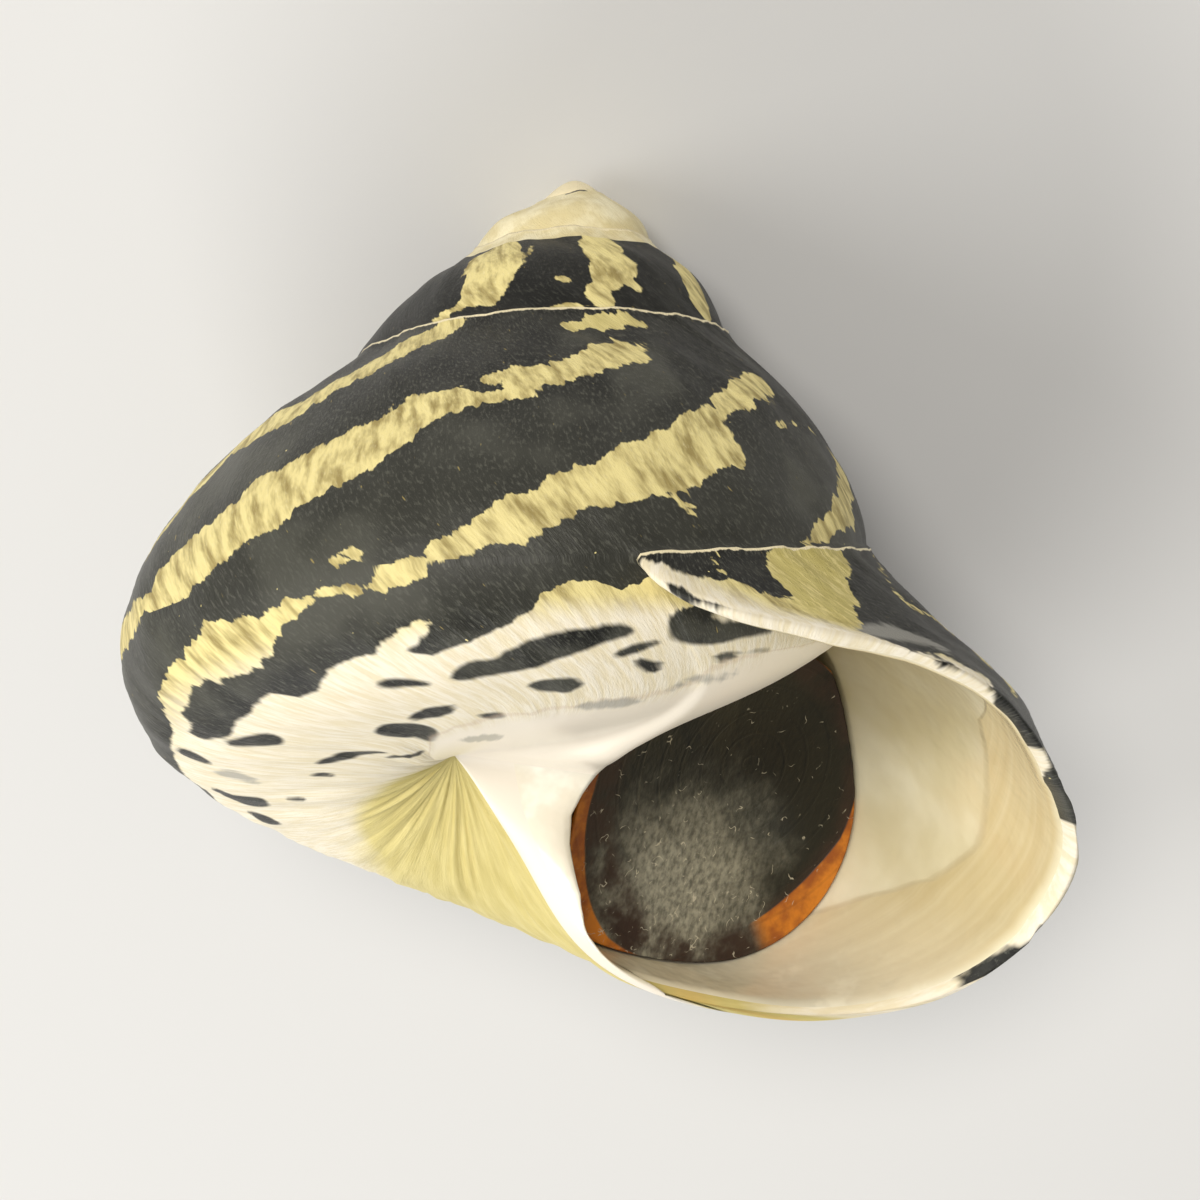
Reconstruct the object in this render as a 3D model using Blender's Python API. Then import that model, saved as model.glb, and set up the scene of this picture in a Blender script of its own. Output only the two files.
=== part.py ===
# West Indian top shell, lying on its back with the aperture up, and the horny lid in its aperture.
#
# The shell is worked out in its own growth frame, in millimetres: the coiling axis is Z, the apex is at
# the top near the origin, and u counts the turns back from the lip, so that u = 0 is the lip's section and
# u = WHORLS is near the apex. A half-plane through the axis at u turns holds one section of the whorl, a
# closed contour around a centre that spirals down and outwards. Angles on the contour are measured at its
# centre, from straight out (0), up to the suture (+) and down to the base (-).

import bmesh
import bpy
import numpy as np
from mathutils import Matrix, Vector
from mathutils.bvhtree import BVHTree

MM = 0.001
TURN = 2 * np.pi

# Growth laws: the size at the lip in mm, then its decay for each turn back, and how the decay changes.
AXIS_DISTANCE = (19.5, 0.785, -0.024, 0.007)
DEPTH_BELOW_APEX = (41.6, 0.739, -0.049, 0.012)
TUBE_RADIUS = (19.0, 0.477, -0.012, 0.006)
LIP_FLARE, LIP_FLARE_TURNS = 0.018, 0.25  # share by which the last quarter turn drops further
WHORLS = 3.5
CLOSEST = 0.25  # the contour stays this share of its centre's distance away from the axis
APEX_RISE = 0.3  # the dome over the smallest whorl, in mm

# Section of the whorl: an oval, slightly three- and four-cornered.
OVAL, OVAL_ANGLE = -0.26, np.radians(32)
THREE_CORNERED, FOUR_CORNERED, CORNER_ANGLE = 0.13, -0.079, np.radians(3)

# Growth lines lean forwards at the suture. The lip is the last growth line.
LEAD = 0.25  # turns between the suture end of a growth line and its point on the line below it
LEAN_AT_EDGE = -0.075
LEAN_BOW = 0.12
SUTURE_ANGLE, EDGE_ANGLE = np.radians(86), np.radians(-25)

# Base, umbilical pit and columella, in mm.
# The contour ends at BASE_ANGLE, and a curve goes on to the pit. From RIDGE_START turns back the base
# narrows into the ridge by the aperture, where the contour ends at RIDGE_ANGLE.
BASE_ANGLE, RIDGE_ANGLE = np.radians(-80), np.radians(-50)
RIDGE_START = 0.4
PIT = np.array((-4.8, -2.1, -40.1))
PIT_APPROACH = np.array((0.0, 0.0, -1.5))  # how far below the straight way the curve comes in
PULL_OUT, PULL_IN = 0.45, 0.35  # the curve's handles at its two ends, as shares of its span
TANGENT_STEP = np.radians(2)
COLUMELLA_TOP = (4.6, 0.071, -40.6)  # distance from the axis, turns, height
COLUMELLA_RISE, COLUMELLA_TAPER = 0.72, 0.6
COLUMELLA_APPROACH = np.array((0.0, 0.0, -5.0))
INNER_BASE_ANGLE = np.radians(-104)
WALL_BASE_ANGLE = np.radians(-48)
LIP_WALL, INNER_WALL, WALL_TURNS = 1.0, 2.1, 0.08
CALLUS = 0.7
HOLLOW_TURNS = 1.2
LIP_BAND_TURNS = 0.012

# How it lies: turned on its axis, tipped onto its back and faced, in that order. The lowest slice of the
# back is worn flat.
ROLL, TIP, FACE = np.radians(-7.5), np.radians(-130.7), np.radians(12)
WORN_DEPTH = 0.6 * MM

# Grid: rows for each turn, columns from suture to edge, and from the edge to the pit.
ROWS_A_TURN = 44
SIDE_COLUMNS = 7
BASE_COLUMNS = 9
CONTOUR_COLUMNS = 5

# Horny lid, in the growth frame: a dished disc whose rim stops short of the inner wall.
LID_CENTRE = Vector((10.5, 17.3, -41.2))
LID_AZIMUTH, LID_ELEVATION = np.radians(-41), np.radians(-22)  # the way its outer face points
LID_RADIUS = 12.9
LID_THICKNESS = 0.9
LID_DISH = 1.3
LID_GAP = 0.6
LID_CLEARANCE = 0.5  # mm above and below the lid's edge within which the wall also counts
LID_SIDES = 36
LID_RINGS = (0.3, 0.6, 0.85, 1.0)


def law(u, size, decay, second, third):
    """Size at u turns back from the lip: an exponential with a slowly changing rate."""
    return size * np.exp(-decay * u - second * u**2 - third * u**3)


def centre(u):
    """Distance from the axis and height of the section's centre."""
    drop = 1 + LIP_FLARE * np.exp(-np.maximum(u, -LIP_FLARE_TURNS) / LIP_FLARE_TURNS)
    return law(u, *AXIS_DISTANCE), -law(u, *DEPTH_BELOW_APEX) * drop


def radius(u, angle):
    """Distance of the contour from its centre."""
    shape = 1 + OVAL * np.cos(2 * (angle - OVAL_ANGLE))
    shape = shape + THREE_CORNERED * np.cos(3 * (angle - CORNER_ANGLE))
    shape = shape + FOUR_CORNERED * np.cos(4 * (angle - CORNER_ANGLE))
    return law(u, *TUBE_RADIUS) * shape


def section(u, angle, inset=0.0):
    """Distance from the axis and height of a point on the contour, or inset mm inside it."""
    out, height = centre(u)
    reach = radius(u, angle) - inset
    return np.maximum(out + reach * np.cos(angle), CLOSEST * out), height + reach * np.sin(angle)


def in_space(u, out, height):
    azimuth = TURN * u
    return np.stack([out * np.cos(azimuth), out * np.sin(azimuth), height + 0 * out], -1)


def lean(angle):
    """Turns by which a growth line runs ahead at this angle."""

    def bow(a):
        return a + LEAN_BOW * a**2

    rise = (bow(angle) - bow(EDGE_ANGLE)) / (bow(SUTURE_ANGLE) - bow(EDGE_ANGLE))
    return LEAN_AT_EDGE + LEAD * rise


def suture(u, inset=0.0, cover=0.0):
    """Angle at which the contour at u, inset mm inside, meets the whorl before it, with cover mm on it,
    and that point's angle on that whorl."""
    angle = np.radians(np.linspace(5, 175, 341))
    rows, angles = np.meshgrid(u, angle, indexing="ij")
    out, height = section(rows, angles, inset)
    before_out, before_height = centre(rows + 1)
    reach = np.hypot(out - before_out, height - before_height) - cover
    gap = reach - radius(rows + 1, np.arctan2(height - before_height, out - before_out))
    after = np.maximum(np.argmax(gap < 0, axis=1), 1)
    row = np.arange(len(u))
    share = gap[row, after - 1] / (gap[row, after - 1] - gap[row, after])
    top = angle[after - 1] + share * (angle[after] - angle[after - 1])
    out, height = section(u, top, np.ravel(inset))
    before_out, before_height = centre(u + 1)
    return top, np.arctan2(height - before_height, out - before_out)


def growth_row(t, share, inset=0.0, cover=0.0):
    """Points from the suture (share 0) to the edge line (share 1) along the growth lines at t."""
    reference = SUTURE_ANGLE + (EDGE_ANGLE - SUTURE_ANGLE) * share
    u = t - lean(reference)
    top = suture(t[:, 0] - lean(SUTURE_ANGLE), inset, cover)[0][:, None]
    whorl_below = np.maximum(t[:, 0] - lean(EDGE_ANGLE) - 1, -lean(SUTURE_ANGLE))
    edge = suture(whorl_below)[1][:, None]
    return in_space(u, *section(u, top + (edge - top) * share, inset))


def base_row(t, columns, last_angle, end, approach, inset=0.0, first_angle=EDGE_ANGLE):
    """Points from the edge line along the contour to last_angle, then on a smooth curve to the point end."""

    def point(angle):
        u = t - lean(EDGE_ANGLE + angle - first_angle)
        return in_space(u, *section(u, angle, inset))

    share = np.linspace(0, 1, columns + 1)[None, :]
    on_contour = CONTOUR_COLUMNS / columns
    angle = first_angle + (last_angle - first_angle) * np.minimum(share / on_contour, 1)
    points = point(angle)
    start = point(last_angle + 0 * t)
    tangent = start - point(last_angle + TANGENT_STEP + 0 * t)
    tangent = tangent / np.linalg.norm(tangent, axis=-1, keepdims=True)
    span = np.linalg.norm(end - start, axis=-1, keepdims=True)
    first = start + PULL_OUT * span * tangent
    second = end + PULL_IN * (start - end) + approach
    s = np.maximum((share - on_contour) / (1 - on_contour), 0)[..., None]
    curve = (1 - s) ** 3 * start + 3 * s * (1 - s) ** 2 * first + 3 * s**2 * (1 - s) * second + s**3 * end
    return np.where(s > 0, curve, points)


def hollow_ring(depth):
    """One ring of the inner wall, depth turns behind the lip: down the outer wall, along the base to the
    columella, and back along the whorl before it to the suture."""
    depth = np.asarray(depth)[:, None]
    inwards = 1 - np.exp(-depth / WALL_TURNS)
    wall = LIP_WALL + (INNER_WALL - LIP_WALL) * inwards
    callus = CALLUS * inwards
    distance, azimuth, height = COLUMELLA_TOP
    behind = depth - LIP_BAND_TURNS
    distance = distance * np.exp(-COLUMELLA_TAPER * behind)
    columella = in_space(azimuth + behind, distance, height * np.exp(-COLUMELLA_RISE * behind))
    share = np.linspace(0, 1, SIDE_COLUMNS + 1)[None, :]
    side = growth_row(depth, share, wall, callus)
    base = base_row(depth, BASE_COLUMNS, INNER_BASE_ANGLE, columella, COLUMELLA_APPROACH, wall)
    whorl_before = depth + 1 - LEAD
    top = suture(depth[:, 0] - lean(SUTURE_ANGLE), wall, callus)[1][:, None]
    back = base_row(whorl_before, BASE_COLUMNS, WALL_BASE_ANGLE, columella, np.zeros(3), -callus, top)
    return np.concatenate([side, base[:, 1:], back[:, -2:0:-1]], axis=1)


def shell_mesh():
    """Points and faces of the shell as one closed surface."""
    rows = round(WHORLS * ROWS_A_TURN)
    lead_rows = round(LEAD * ROWS_A_TURN)
    below = ROWS_A_TURN - lead_rows  # a row's edge line is the suture of the row this many before it
    t = np.arange(rows + 1)[:, None] / ROWS_A_TURN
    side = growth_row(t, np.linspace(0, 1, SIDE_COLUMNS + 1)[None, :])
    base_t = t[: below + 1]
    ridge = np.clip((base_t - RIDGE_START) / (base_t[-1] - RIDGE_START), 0, 1)
    last_angle = BASE_ANGLE + (RIDGE_ANGLE - BASE_ANGLE) * ridge**2 * (3 - 2 * ridge)
    base = base_row(base_t, BASE_COLUMNS, last_angle, PIT, PIT_APPROACH)

    points, faces = [], []

    def add(new):
        start = sum(len(p) for p in points)
        points.append(np.asarray(new).reshape(-1, 3))
        return start + np.arange(len(points[-1])).reshape(np.shape(new)[:-1])

    def skin(ids):
        a, b, c, d = ids[:-1, :-1], ids[:-1, 1:], ids[1:, 1:], ids[1:, :-1]
        for face in np.stack([a, b, c, d], -1).reshape(-1, 4).tolist():
            faces.append([v for k, v in enumerate(face) if v != face[k - 1]])

    def fan(loop, tip):
        faces.extend([a, b, tip] for a, b in zip(loop, loop[1:] + loop[:1]))

    own = add(side[:, :-1])
    edge = np.concatenate([add(side[:below, -1]), own[: rows + 1 - below, 0]])
    side_ids = np.concatenate([own, edge[:, None]], axis=1)
    pit = add(PIT[None])[0]
    inner = add(base[:, 1:-1])
    base_ids = np.concatenate([edge[: below + 1, None], inner, np.full((below + 1, 1), pit)], axis=1)
    skin(side_ids)
    skin(base_ids)

    apex_loop = list(own[rows - below :, 0]) + list(side_ids[-1, 1:-1])
    apex_points = np.concatenate(points)[apex_loop]
    tip = apex_points.mean(axis=0)
    tip[2] = apex_points[:, 2].max() + APEX_RISE
    apex = add(tip[None])[0]
    fan(apex_loop[::-1], apex)

    depths = LIP_BAND_TURNS + np.arange(round(HOLLOW_TURNS * ROWS_A_TURN)) / ROWS_A_TURN
    rings = add(hollow_ring(depths))
    lip = np.concatenate([side_ids[0], base_ids[0, 1:], base_ids[-1, -2:0:-1]])
    loops = np.concatenate([lip[None], rings])
    skin(np.concatenate([loops, loops[:, :1]], axis=1)[::-1])
    end = add(np.concatenate(points)[rings[-1]].mean(axis=0)[None])[0]
    fan(list(rings[-1]), end)
    return np.concatenate(points), faces


def lid_mesh(wall):
    """Points and faces of the lid. wall is the shell's surface, which its rim follows at LID_GAP."""
    level = np.cos(LID_ELEVATION)
    outwards = Vector((level * np.cos(LID_AZIMUTH), level * np.sin(LID_AZIMUTH), np.sin(LID_ELEVATION)))
    across = outwards.cross(Vector((0, 0, 1))).normalized()
    down = outwards.cross(across)
    points, faces = [], []
    for side in range(LID_SIDES):
        turned = TURN * side / LID_SIDES
        ray = across * np.cos(turned) + down * np.sin(turned)
        lifts = (LID_CLEARANCE, -LID_THICKNESS / 2, -LID_THICKNESS - LID_CLEARANCE)
        free = [wall.ray_cast(LID_CENTRE + outwards * lift, ray)[3] - LID_GAP for lift in lifts]
        reach = min([LID_RADIUS] + free)
        sunk = [LID_DISH * (1 - share**2) for share in LID_RINGS]
        front = [LID_CENTRE + ray * reach * share - outwards * dip for share, dip in zip(LID_RINGS, sunk)]
        back = [point - outwards * LID_THICKNESS for point in reversed(front)]
        points.extend(front + back)
    rings = 2 * len(LID_RINGS)
    for side in range(LID_SIDES):
        here, there = side * rings, (side + 1) % LID_SIDES * rings
        faces.extend([here + k, here + k + 1, there + k + 1, there + k] for k in range(rings - 1))
        faces.append([here, there, LID_SIDES * rings])
        faces.append([there + rings - 1, here + rings - 1, LID_SIDES * rings + 1])
    points.append(LID_CENTRE - outwards * LID_DISH)
    points.append(LID_CENTRE - outwards * (LID_DISH + LID_THICKNESS))
    return np.array([tuple(point) for point in points]), faces


def mesh_object(name, points, faces, material):
    """An object with this mesh in its lying position, still in the growth frame's place."""
    mesh = bpy.data.meshes.new(name)
    mesh.from_pydata([tuple(point) for point in points * MM], [], faces)
    turns = Matrix.Rotation(FACE, 4, "Z") @ Matrix.Rotation(TIP, 4, "X") @ Matrix.Rotation(ROLL, 4, "Z")
    mesh.transform(turns)
    mesh.materials.append(material)
    mesh.shade_smooth()
    obj = bpy.data.objects.new(name, mesh)
    collection.objects.link(obj)
    return obj


def wear_flat(mesh, height):
    """Cuts away what is below height and closes the cut."""
    worn = bmesh.new()
    worn.from_mesh(mesh)
    everything = worn.verts[:] + worn.edges[:] + worn.faces[:]
    cut = bmesh.ops.bisect_plane(
        worn, geom=everything, dist=1e-6, plane_co=(0, 0, height), plane_no=(0, 0, -1), clear_outer=True
    )
    rim = [part for part in cut["geom_cut"] if isinstance(part, bmesh.types.BMEdge)]
    bmesh.ops.holes_fill(worn, edges=rim, sides=0)
    bmesh.ops.triangulate(worn, faces=worn.faces)
    bmesh.ops.recalc_face_normals(worn, faces=worn.faces)
    worn.to_mesh(mesh)
    worn.free()


def principled(name, colour, roughness):
    material = bpy.data.materials.new(name)
    material.use_nodes = True
    shader = material.node_tree.nodes["Principled BSDF"]
    shader.inputs["Base Color"].default_value = (*colour, 1)
    shader.inputs["Roughness"].default_value = roughness
    shader.inputs["Metallic"].default_value = 0.0
    return material


for old in list(bpy.data.objects):
    bpy.data.objects.remove(old)
collection = bpy.data.collections.new("west_indian_top_shell")
bpy.context.scene.collection.children.link(collection)
shell_points, shell_faces = shell_mesh()
inner_wall = BVHTree.FromPolygons([tuple(point) for point in shell_points], shell_faces)
lid_points, lid_faces = lid_mesh(inner_wall)
shell = mesh_object("shell", shell_points, shell_faces, principled("shell_lime", (0.25, 0.2, 0.12), 0.4))
lid = mesh_object("operculum", lid_points, lid_faces, principled("horn", (0.03, 0.02, 0.012), 0.35))

bottom = min(vertex.co.z for vertex in shell.data.vertices) + WORN_DEPTH
wear_flat(shell.data, bottom)
sides = [[vertex.co[axis] for vertex in shell.data.vertices] for axis in (0, 1)]
centre_x, centre_y = ((min(side) + max(side)) / 2 for side in sides)
for piece in (shell, lid):
    piece.data.transform(Matrix.Translation((-centre_x, -centre_y, -bottom)))
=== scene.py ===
import bpy
import numpy as np
from mathutils import Matrix, Vector
from mathutils.bvhtree import BVHTree


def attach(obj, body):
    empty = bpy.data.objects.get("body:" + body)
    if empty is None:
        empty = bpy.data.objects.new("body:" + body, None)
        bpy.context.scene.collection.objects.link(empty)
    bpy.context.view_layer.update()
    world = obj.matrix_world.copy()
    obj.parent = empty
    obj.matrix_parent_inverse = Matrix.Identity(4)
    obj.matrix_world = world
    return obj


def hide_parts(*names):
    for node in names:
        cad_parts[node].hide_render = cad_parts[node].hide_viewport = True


# West Indian top shell on its back with its lid in its mouth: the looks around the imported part.
#
# The shell is worked out in its growth frame in millimetres, as in the part: the coiling axis is Z, the apex
# is near the origin and turns are counted back from the lip. A place on the outer surface has two chart
# coordinates: the growth line it is on, in turns back from the lip, and how far down that line it is,
# 0 at the suture, 1 at the edge line and 2 at the umbilical pit.

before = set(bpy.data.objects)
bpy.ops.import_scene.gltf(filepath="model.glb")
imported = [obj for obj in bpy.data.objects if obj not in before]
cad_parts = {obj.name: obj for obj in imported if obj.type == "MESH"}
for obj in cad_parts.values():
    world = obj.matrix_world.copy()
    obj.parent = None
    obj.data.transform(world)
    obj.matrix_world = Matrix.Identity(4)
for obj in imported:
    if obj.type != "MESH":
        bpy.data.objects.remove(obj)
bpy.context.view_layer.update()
print("frame loaded")

mm = 0.001
turn = 2 * np.pi
fieldReach = 4.0  # mm from a marking's edge at which its field levels off
mmADrop = 30  # about how long one unit of drop is
mmATurn = 120  # how long a turn back from the lip is taken for, near the lip

# Growth laws as in the part: the size at the lip in mm, its decay for each turn back, and two slow changes.
growth = {
    "axisDistance": (19.5, 0.785, -0.024, 0.007),
    "depthBelowApex": (41.6, 0.739, -0.049, 0.012),
    "tubeRadius": (19.0, 0.477, -0.012, 0.006),
    "lipFlare": 0.018,
    "lipFlareTurns": 0.25,
    "whorls": 3.5,
    "closest": 0.25,  # the contour stays this share of its centre's distance away from the axis
    "oval": -0.26,
    "ovalAngle": np.radians(32),
    "threeCornered": 0.13,
    "fourCornered": -0.079,
    "cornerAngle": np.radians(3),
}
# Growth lines lean forwards at the suture. The lip is the last one.
lines = {
    "lead": 0.25,
    "leanAtEdge": -0.075,
    "bow": 0.12,
    "sutureAngle": np.radians(86),
    "edgeAngle": np.radians(-25),
}
base = {
    "angle": np.radians(-80),
    "ridgeAngle": np.radians(-50),
    "ridgeStart": 0.4,
    "pit": np.array((-4.8, -2.1, -40.1)),
    "pitApproach": np.array((0.0, 0.0, -1.5)),
    "pullOut": 0.45,
    "pullIn": 0.35,
    "tangentStep": np.radians(2),
    "onContour": 5 / 9,  # share of a base row that lies on the contour
}
hollow = {
    "columellaTop": (4.6, 0.071, -40.6),  # distance from the axis, turns, height
    "rise": 0.72,
    "taper": 0.6,
    "approach": np.array((0.0, 0.0, -5.0)),
    "baseAngle": np.radians(-104),
    "wallBaseAngle": np.radians(-48),
    "lipWall": 1.0,
    "innerWall": 2.1,
    "wallTurns": 0.08,
    "callus": 0.7,
    "turns": 1.2,
    "lipBandTurns": 0.012,
    "crowding": 1.4,  # above 1 the rings stand closer near the lip
}
lying = {"roll": -7.5, "tip": -130.7, "face": 12, "shiftMm": (10.737, -27.206, -1.827)}
grid = {"rowsATurn": 240, "sideColumns": 64, "baseColumns": 80, "rimRows": 8, "hollowRows": 66,
        "patternRows": 4}


def law(u, size, decay, second, third):
    # size times e to the minus (decay u + second u squared + third u cubed)
    return size * np.exp(-decay * u - second * u**2 - third * u**3)


def centre(u):
    # distance from the axis and height of the section's centre
    flare = growth["lipFlareTurns"]
    drop = 1 + growth["lipFlare"] * np.exp(-np.maximum(u, -flare) / flare)
    return law(u, *growth["axisDistance"]), -law(u, *growth["depthBelowApex"]) * drop


def radius(u, angle):
    # an oval with a little of a triangle and of a square: 1 + a cos 2x + b cos 3y + c cos 4y
    corner = growth["cornerAngle"]
    shape = 1 + growth["oval"] * np.cos(2 * (angle - growth["ovalAngle"]))
    shape = shape + growth["threeCornered"] * np.cos(3 * (angle - corner))
    shape = shape + growth["fourCornered"] * np.cos(4 * (angle - corner))
    return law(u, *growth["tubeRadius"]) * shape


def section(u, angle, inset=0.0):
    # distance from the axis and height of a contour point, or inset mm inside it
    out, height = centre(u)
    reach = radius(u, angle) - inset
    return np.maximum(out + reach * np.cos(angle), growth["closest"] * out), height + reach * np.sin(angle)


def inSpace(u, out, height):
    # the point at this turn, distance from the axis and height
    return np.stack([out * np.cos(turn * u), out * np.sin(turn * u), height + 0 * out], -1)


def lean(angle):
    # turns by which a growth line runs ahead at this angle: a straight line with a little of its square
    first, last = lines["edgeAngle"], lines["sutureAngle"]
    bowed = [a + lines["bow"] * a**2 for a in (angle, first, last)]
    return lines["leanAtEdge"] + lines["lead"] * (bowed[0] - bowed[1]) / (bowed[2] - bowed[1])


def suture(u, inset=0.0, cover=0.0):
    # angle where the contour meets the whorl before it, and that point's angle on that whorl
    angle = np.radians(np.linspace(5, 175, 341))  # half a degree apart
    rows, angles = np.meshgrid(u, angle, indexing="ij")
    out, height = section(rows, angles, inset)
    beforeOut, beforeHeight = centre(rows + 1)
    reach = np.hypot(out - beforeOut, height - beforeHeight) - cover
    gap = reach - radius(rows + 1, np.arctan2(height - beforeHeight, out - beforeOut))
    after = np.maximum(np.argmax(gap < 0, axis=1), 1)
    row = np.arange(len(u))
    share = gap[row, after - 1] / (gap[row, after - 1] - gap[row, after])
    top = angle[after - 1] + share * (angle[after] - angle[after - 1])
    out, height = section(u, top, np.ravel(inset))
    beforeOut, beforeHeight = centre(u + 1)
    return top, np.arctan2(height - beforeHeight, out - beforeOut)


def sideRow(t, share, inset=0.0, cover=0.0):
    # points from the suture (share 0) to the edge line (share 1) along the growth lines t
    reference = lines["sutureAngle"] + (lines["edgeAngle"] - lines["sutureAngle"]) * share
    u = t - lean(reference)
    top = suture(t[:, 0] - lean(lines["sutureAngle"]), inset, cover)[0][:, None]
    whorlBelow = np.maximum(t[:, 0] - lean(lines["edgeAngle"]) - 1, -lean(lines["sutureAngle"]))
    edge = suture(whorlBelow)[1][:, None]
    return inSpace(u, *section(u, top + (edge - top) * share, inset))


def baseRow(t, share, lastAngle, end, approach, inset=0.0, firstAngle=lines["edgeAngle"]):
    # points from the edge line along the contour to lastAngle, then on a cubic curve to the point end
    def point(angle):
        u = t - lean(lines["edgeAngle"] + angle - firstAngle)
        return inSpace(u, *section(u, angle, inset))

    angle = firstAngle + (lastAngle - firstAngle) * np.minimum(share / base["onContour"], 1)
    points = point(angle)
    start = point(lastAngle + 0 * t)
    tangent = start - point(lastAngle + base["tangentStep"] + 0 * t)
    tangent = tangent / np.linalg.norm(tangent, axis=-1, keepdims=True)
    span = np.linalg.norm(end - start, axis=-1, keepdims=True)
    first = start + base["pullOut"] * span * tangent
    second = end + base["pullIn"] * (start - end) + approach
    s = np.maximum((share - base["onContour"]) / (1 - base["onContour"]), 0)[..., None]
    curve = (1 - s) ** 3 * start + 3 * s * (1 - s) ** 2 * first + 3 * s**2 * (1 - s) * second + s**3 * end
    return np.where(s > 0, curve, points)


def outerBase(t, share):
    # the base outside the mouth. From ridgeStart turns back it narrows into the ridge by the mouth
    back = np.clip((t - base["ridgeStart"]) / (1 - lines["lead"] - base["ridgeStart"]), 0, 1)
    last = base["angle"] + (base["ridgeAngle"] - base["angle"]) * back**2 * (3 - 2 * back)
    return baseRow(t, share, last, base["pit"], base["pitApproach"])


def onSurface(t, drop):
    # the points with these chart coordinates, as paired lists
    t, drop = np.asarray(t, float)[:, None], np.asarray(drop, float)[:, None]
    above = sideRow(t, np.clip(drop, 0, 1))[:, 0]
    below = outerBase(t, np.clip(drop - 1, 0, 1))[:, 0]
    return np.where(drop > 1, below, above)


def hollowRings(depth, wall, callus):
    # rings of the inner wall: down the outer wall, along the base to the columella, back along the whorl
    # before. Gives the points of the three stretches
    distance, azimuth, height = hollow["columellaTop"]
    behind = depth - hollow["lipBandTurns"]
    distance = distance * np.exp(-hollow["taper"] * behind)
    columella = inSpace(azimuth + behind, distance, height * np.exp(-hollow["rise"] * behind))
    sideShare = np.linspace(0, 1, grid["sideColumns"] + 1)[None, :]
    baseShare = np.linspace(0, 1, grid["baseColumns"] + 1)[None, :]
    side = sideRow(depth, sideShare, wall, callus)
    floor = baseRow(depth, baseShare, hollow["baseAngle"], columella, hollow["approach"], wall)
    top = suture(depth[:, 0] - lean(lines["sutureAngle"]), wall, callus)[1][:, None]
    before = depth + 1 - lines["lead"]
    back = baseRow(before, baseShare, hollow["wallBaseAngle"], columella, np.zeros(3), -callus, top)
    return side, floor, back


lie = Matrix.Rotation(np.radians(lying["face"]), 3, "Z")
lie = lie @ Matrix.Rotation(np.radians(lying["tip"]), 3, "X")
lie = np.array(lie @ Matrix.Rotation(np.radians(lying["roll"]), 3, "Z"))


def toRow(points):
    # growth frame in mm to the row frame in metres
    return (np.asarray(points) @ lie.T - lying["shiftMm"]) * mm


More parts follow.
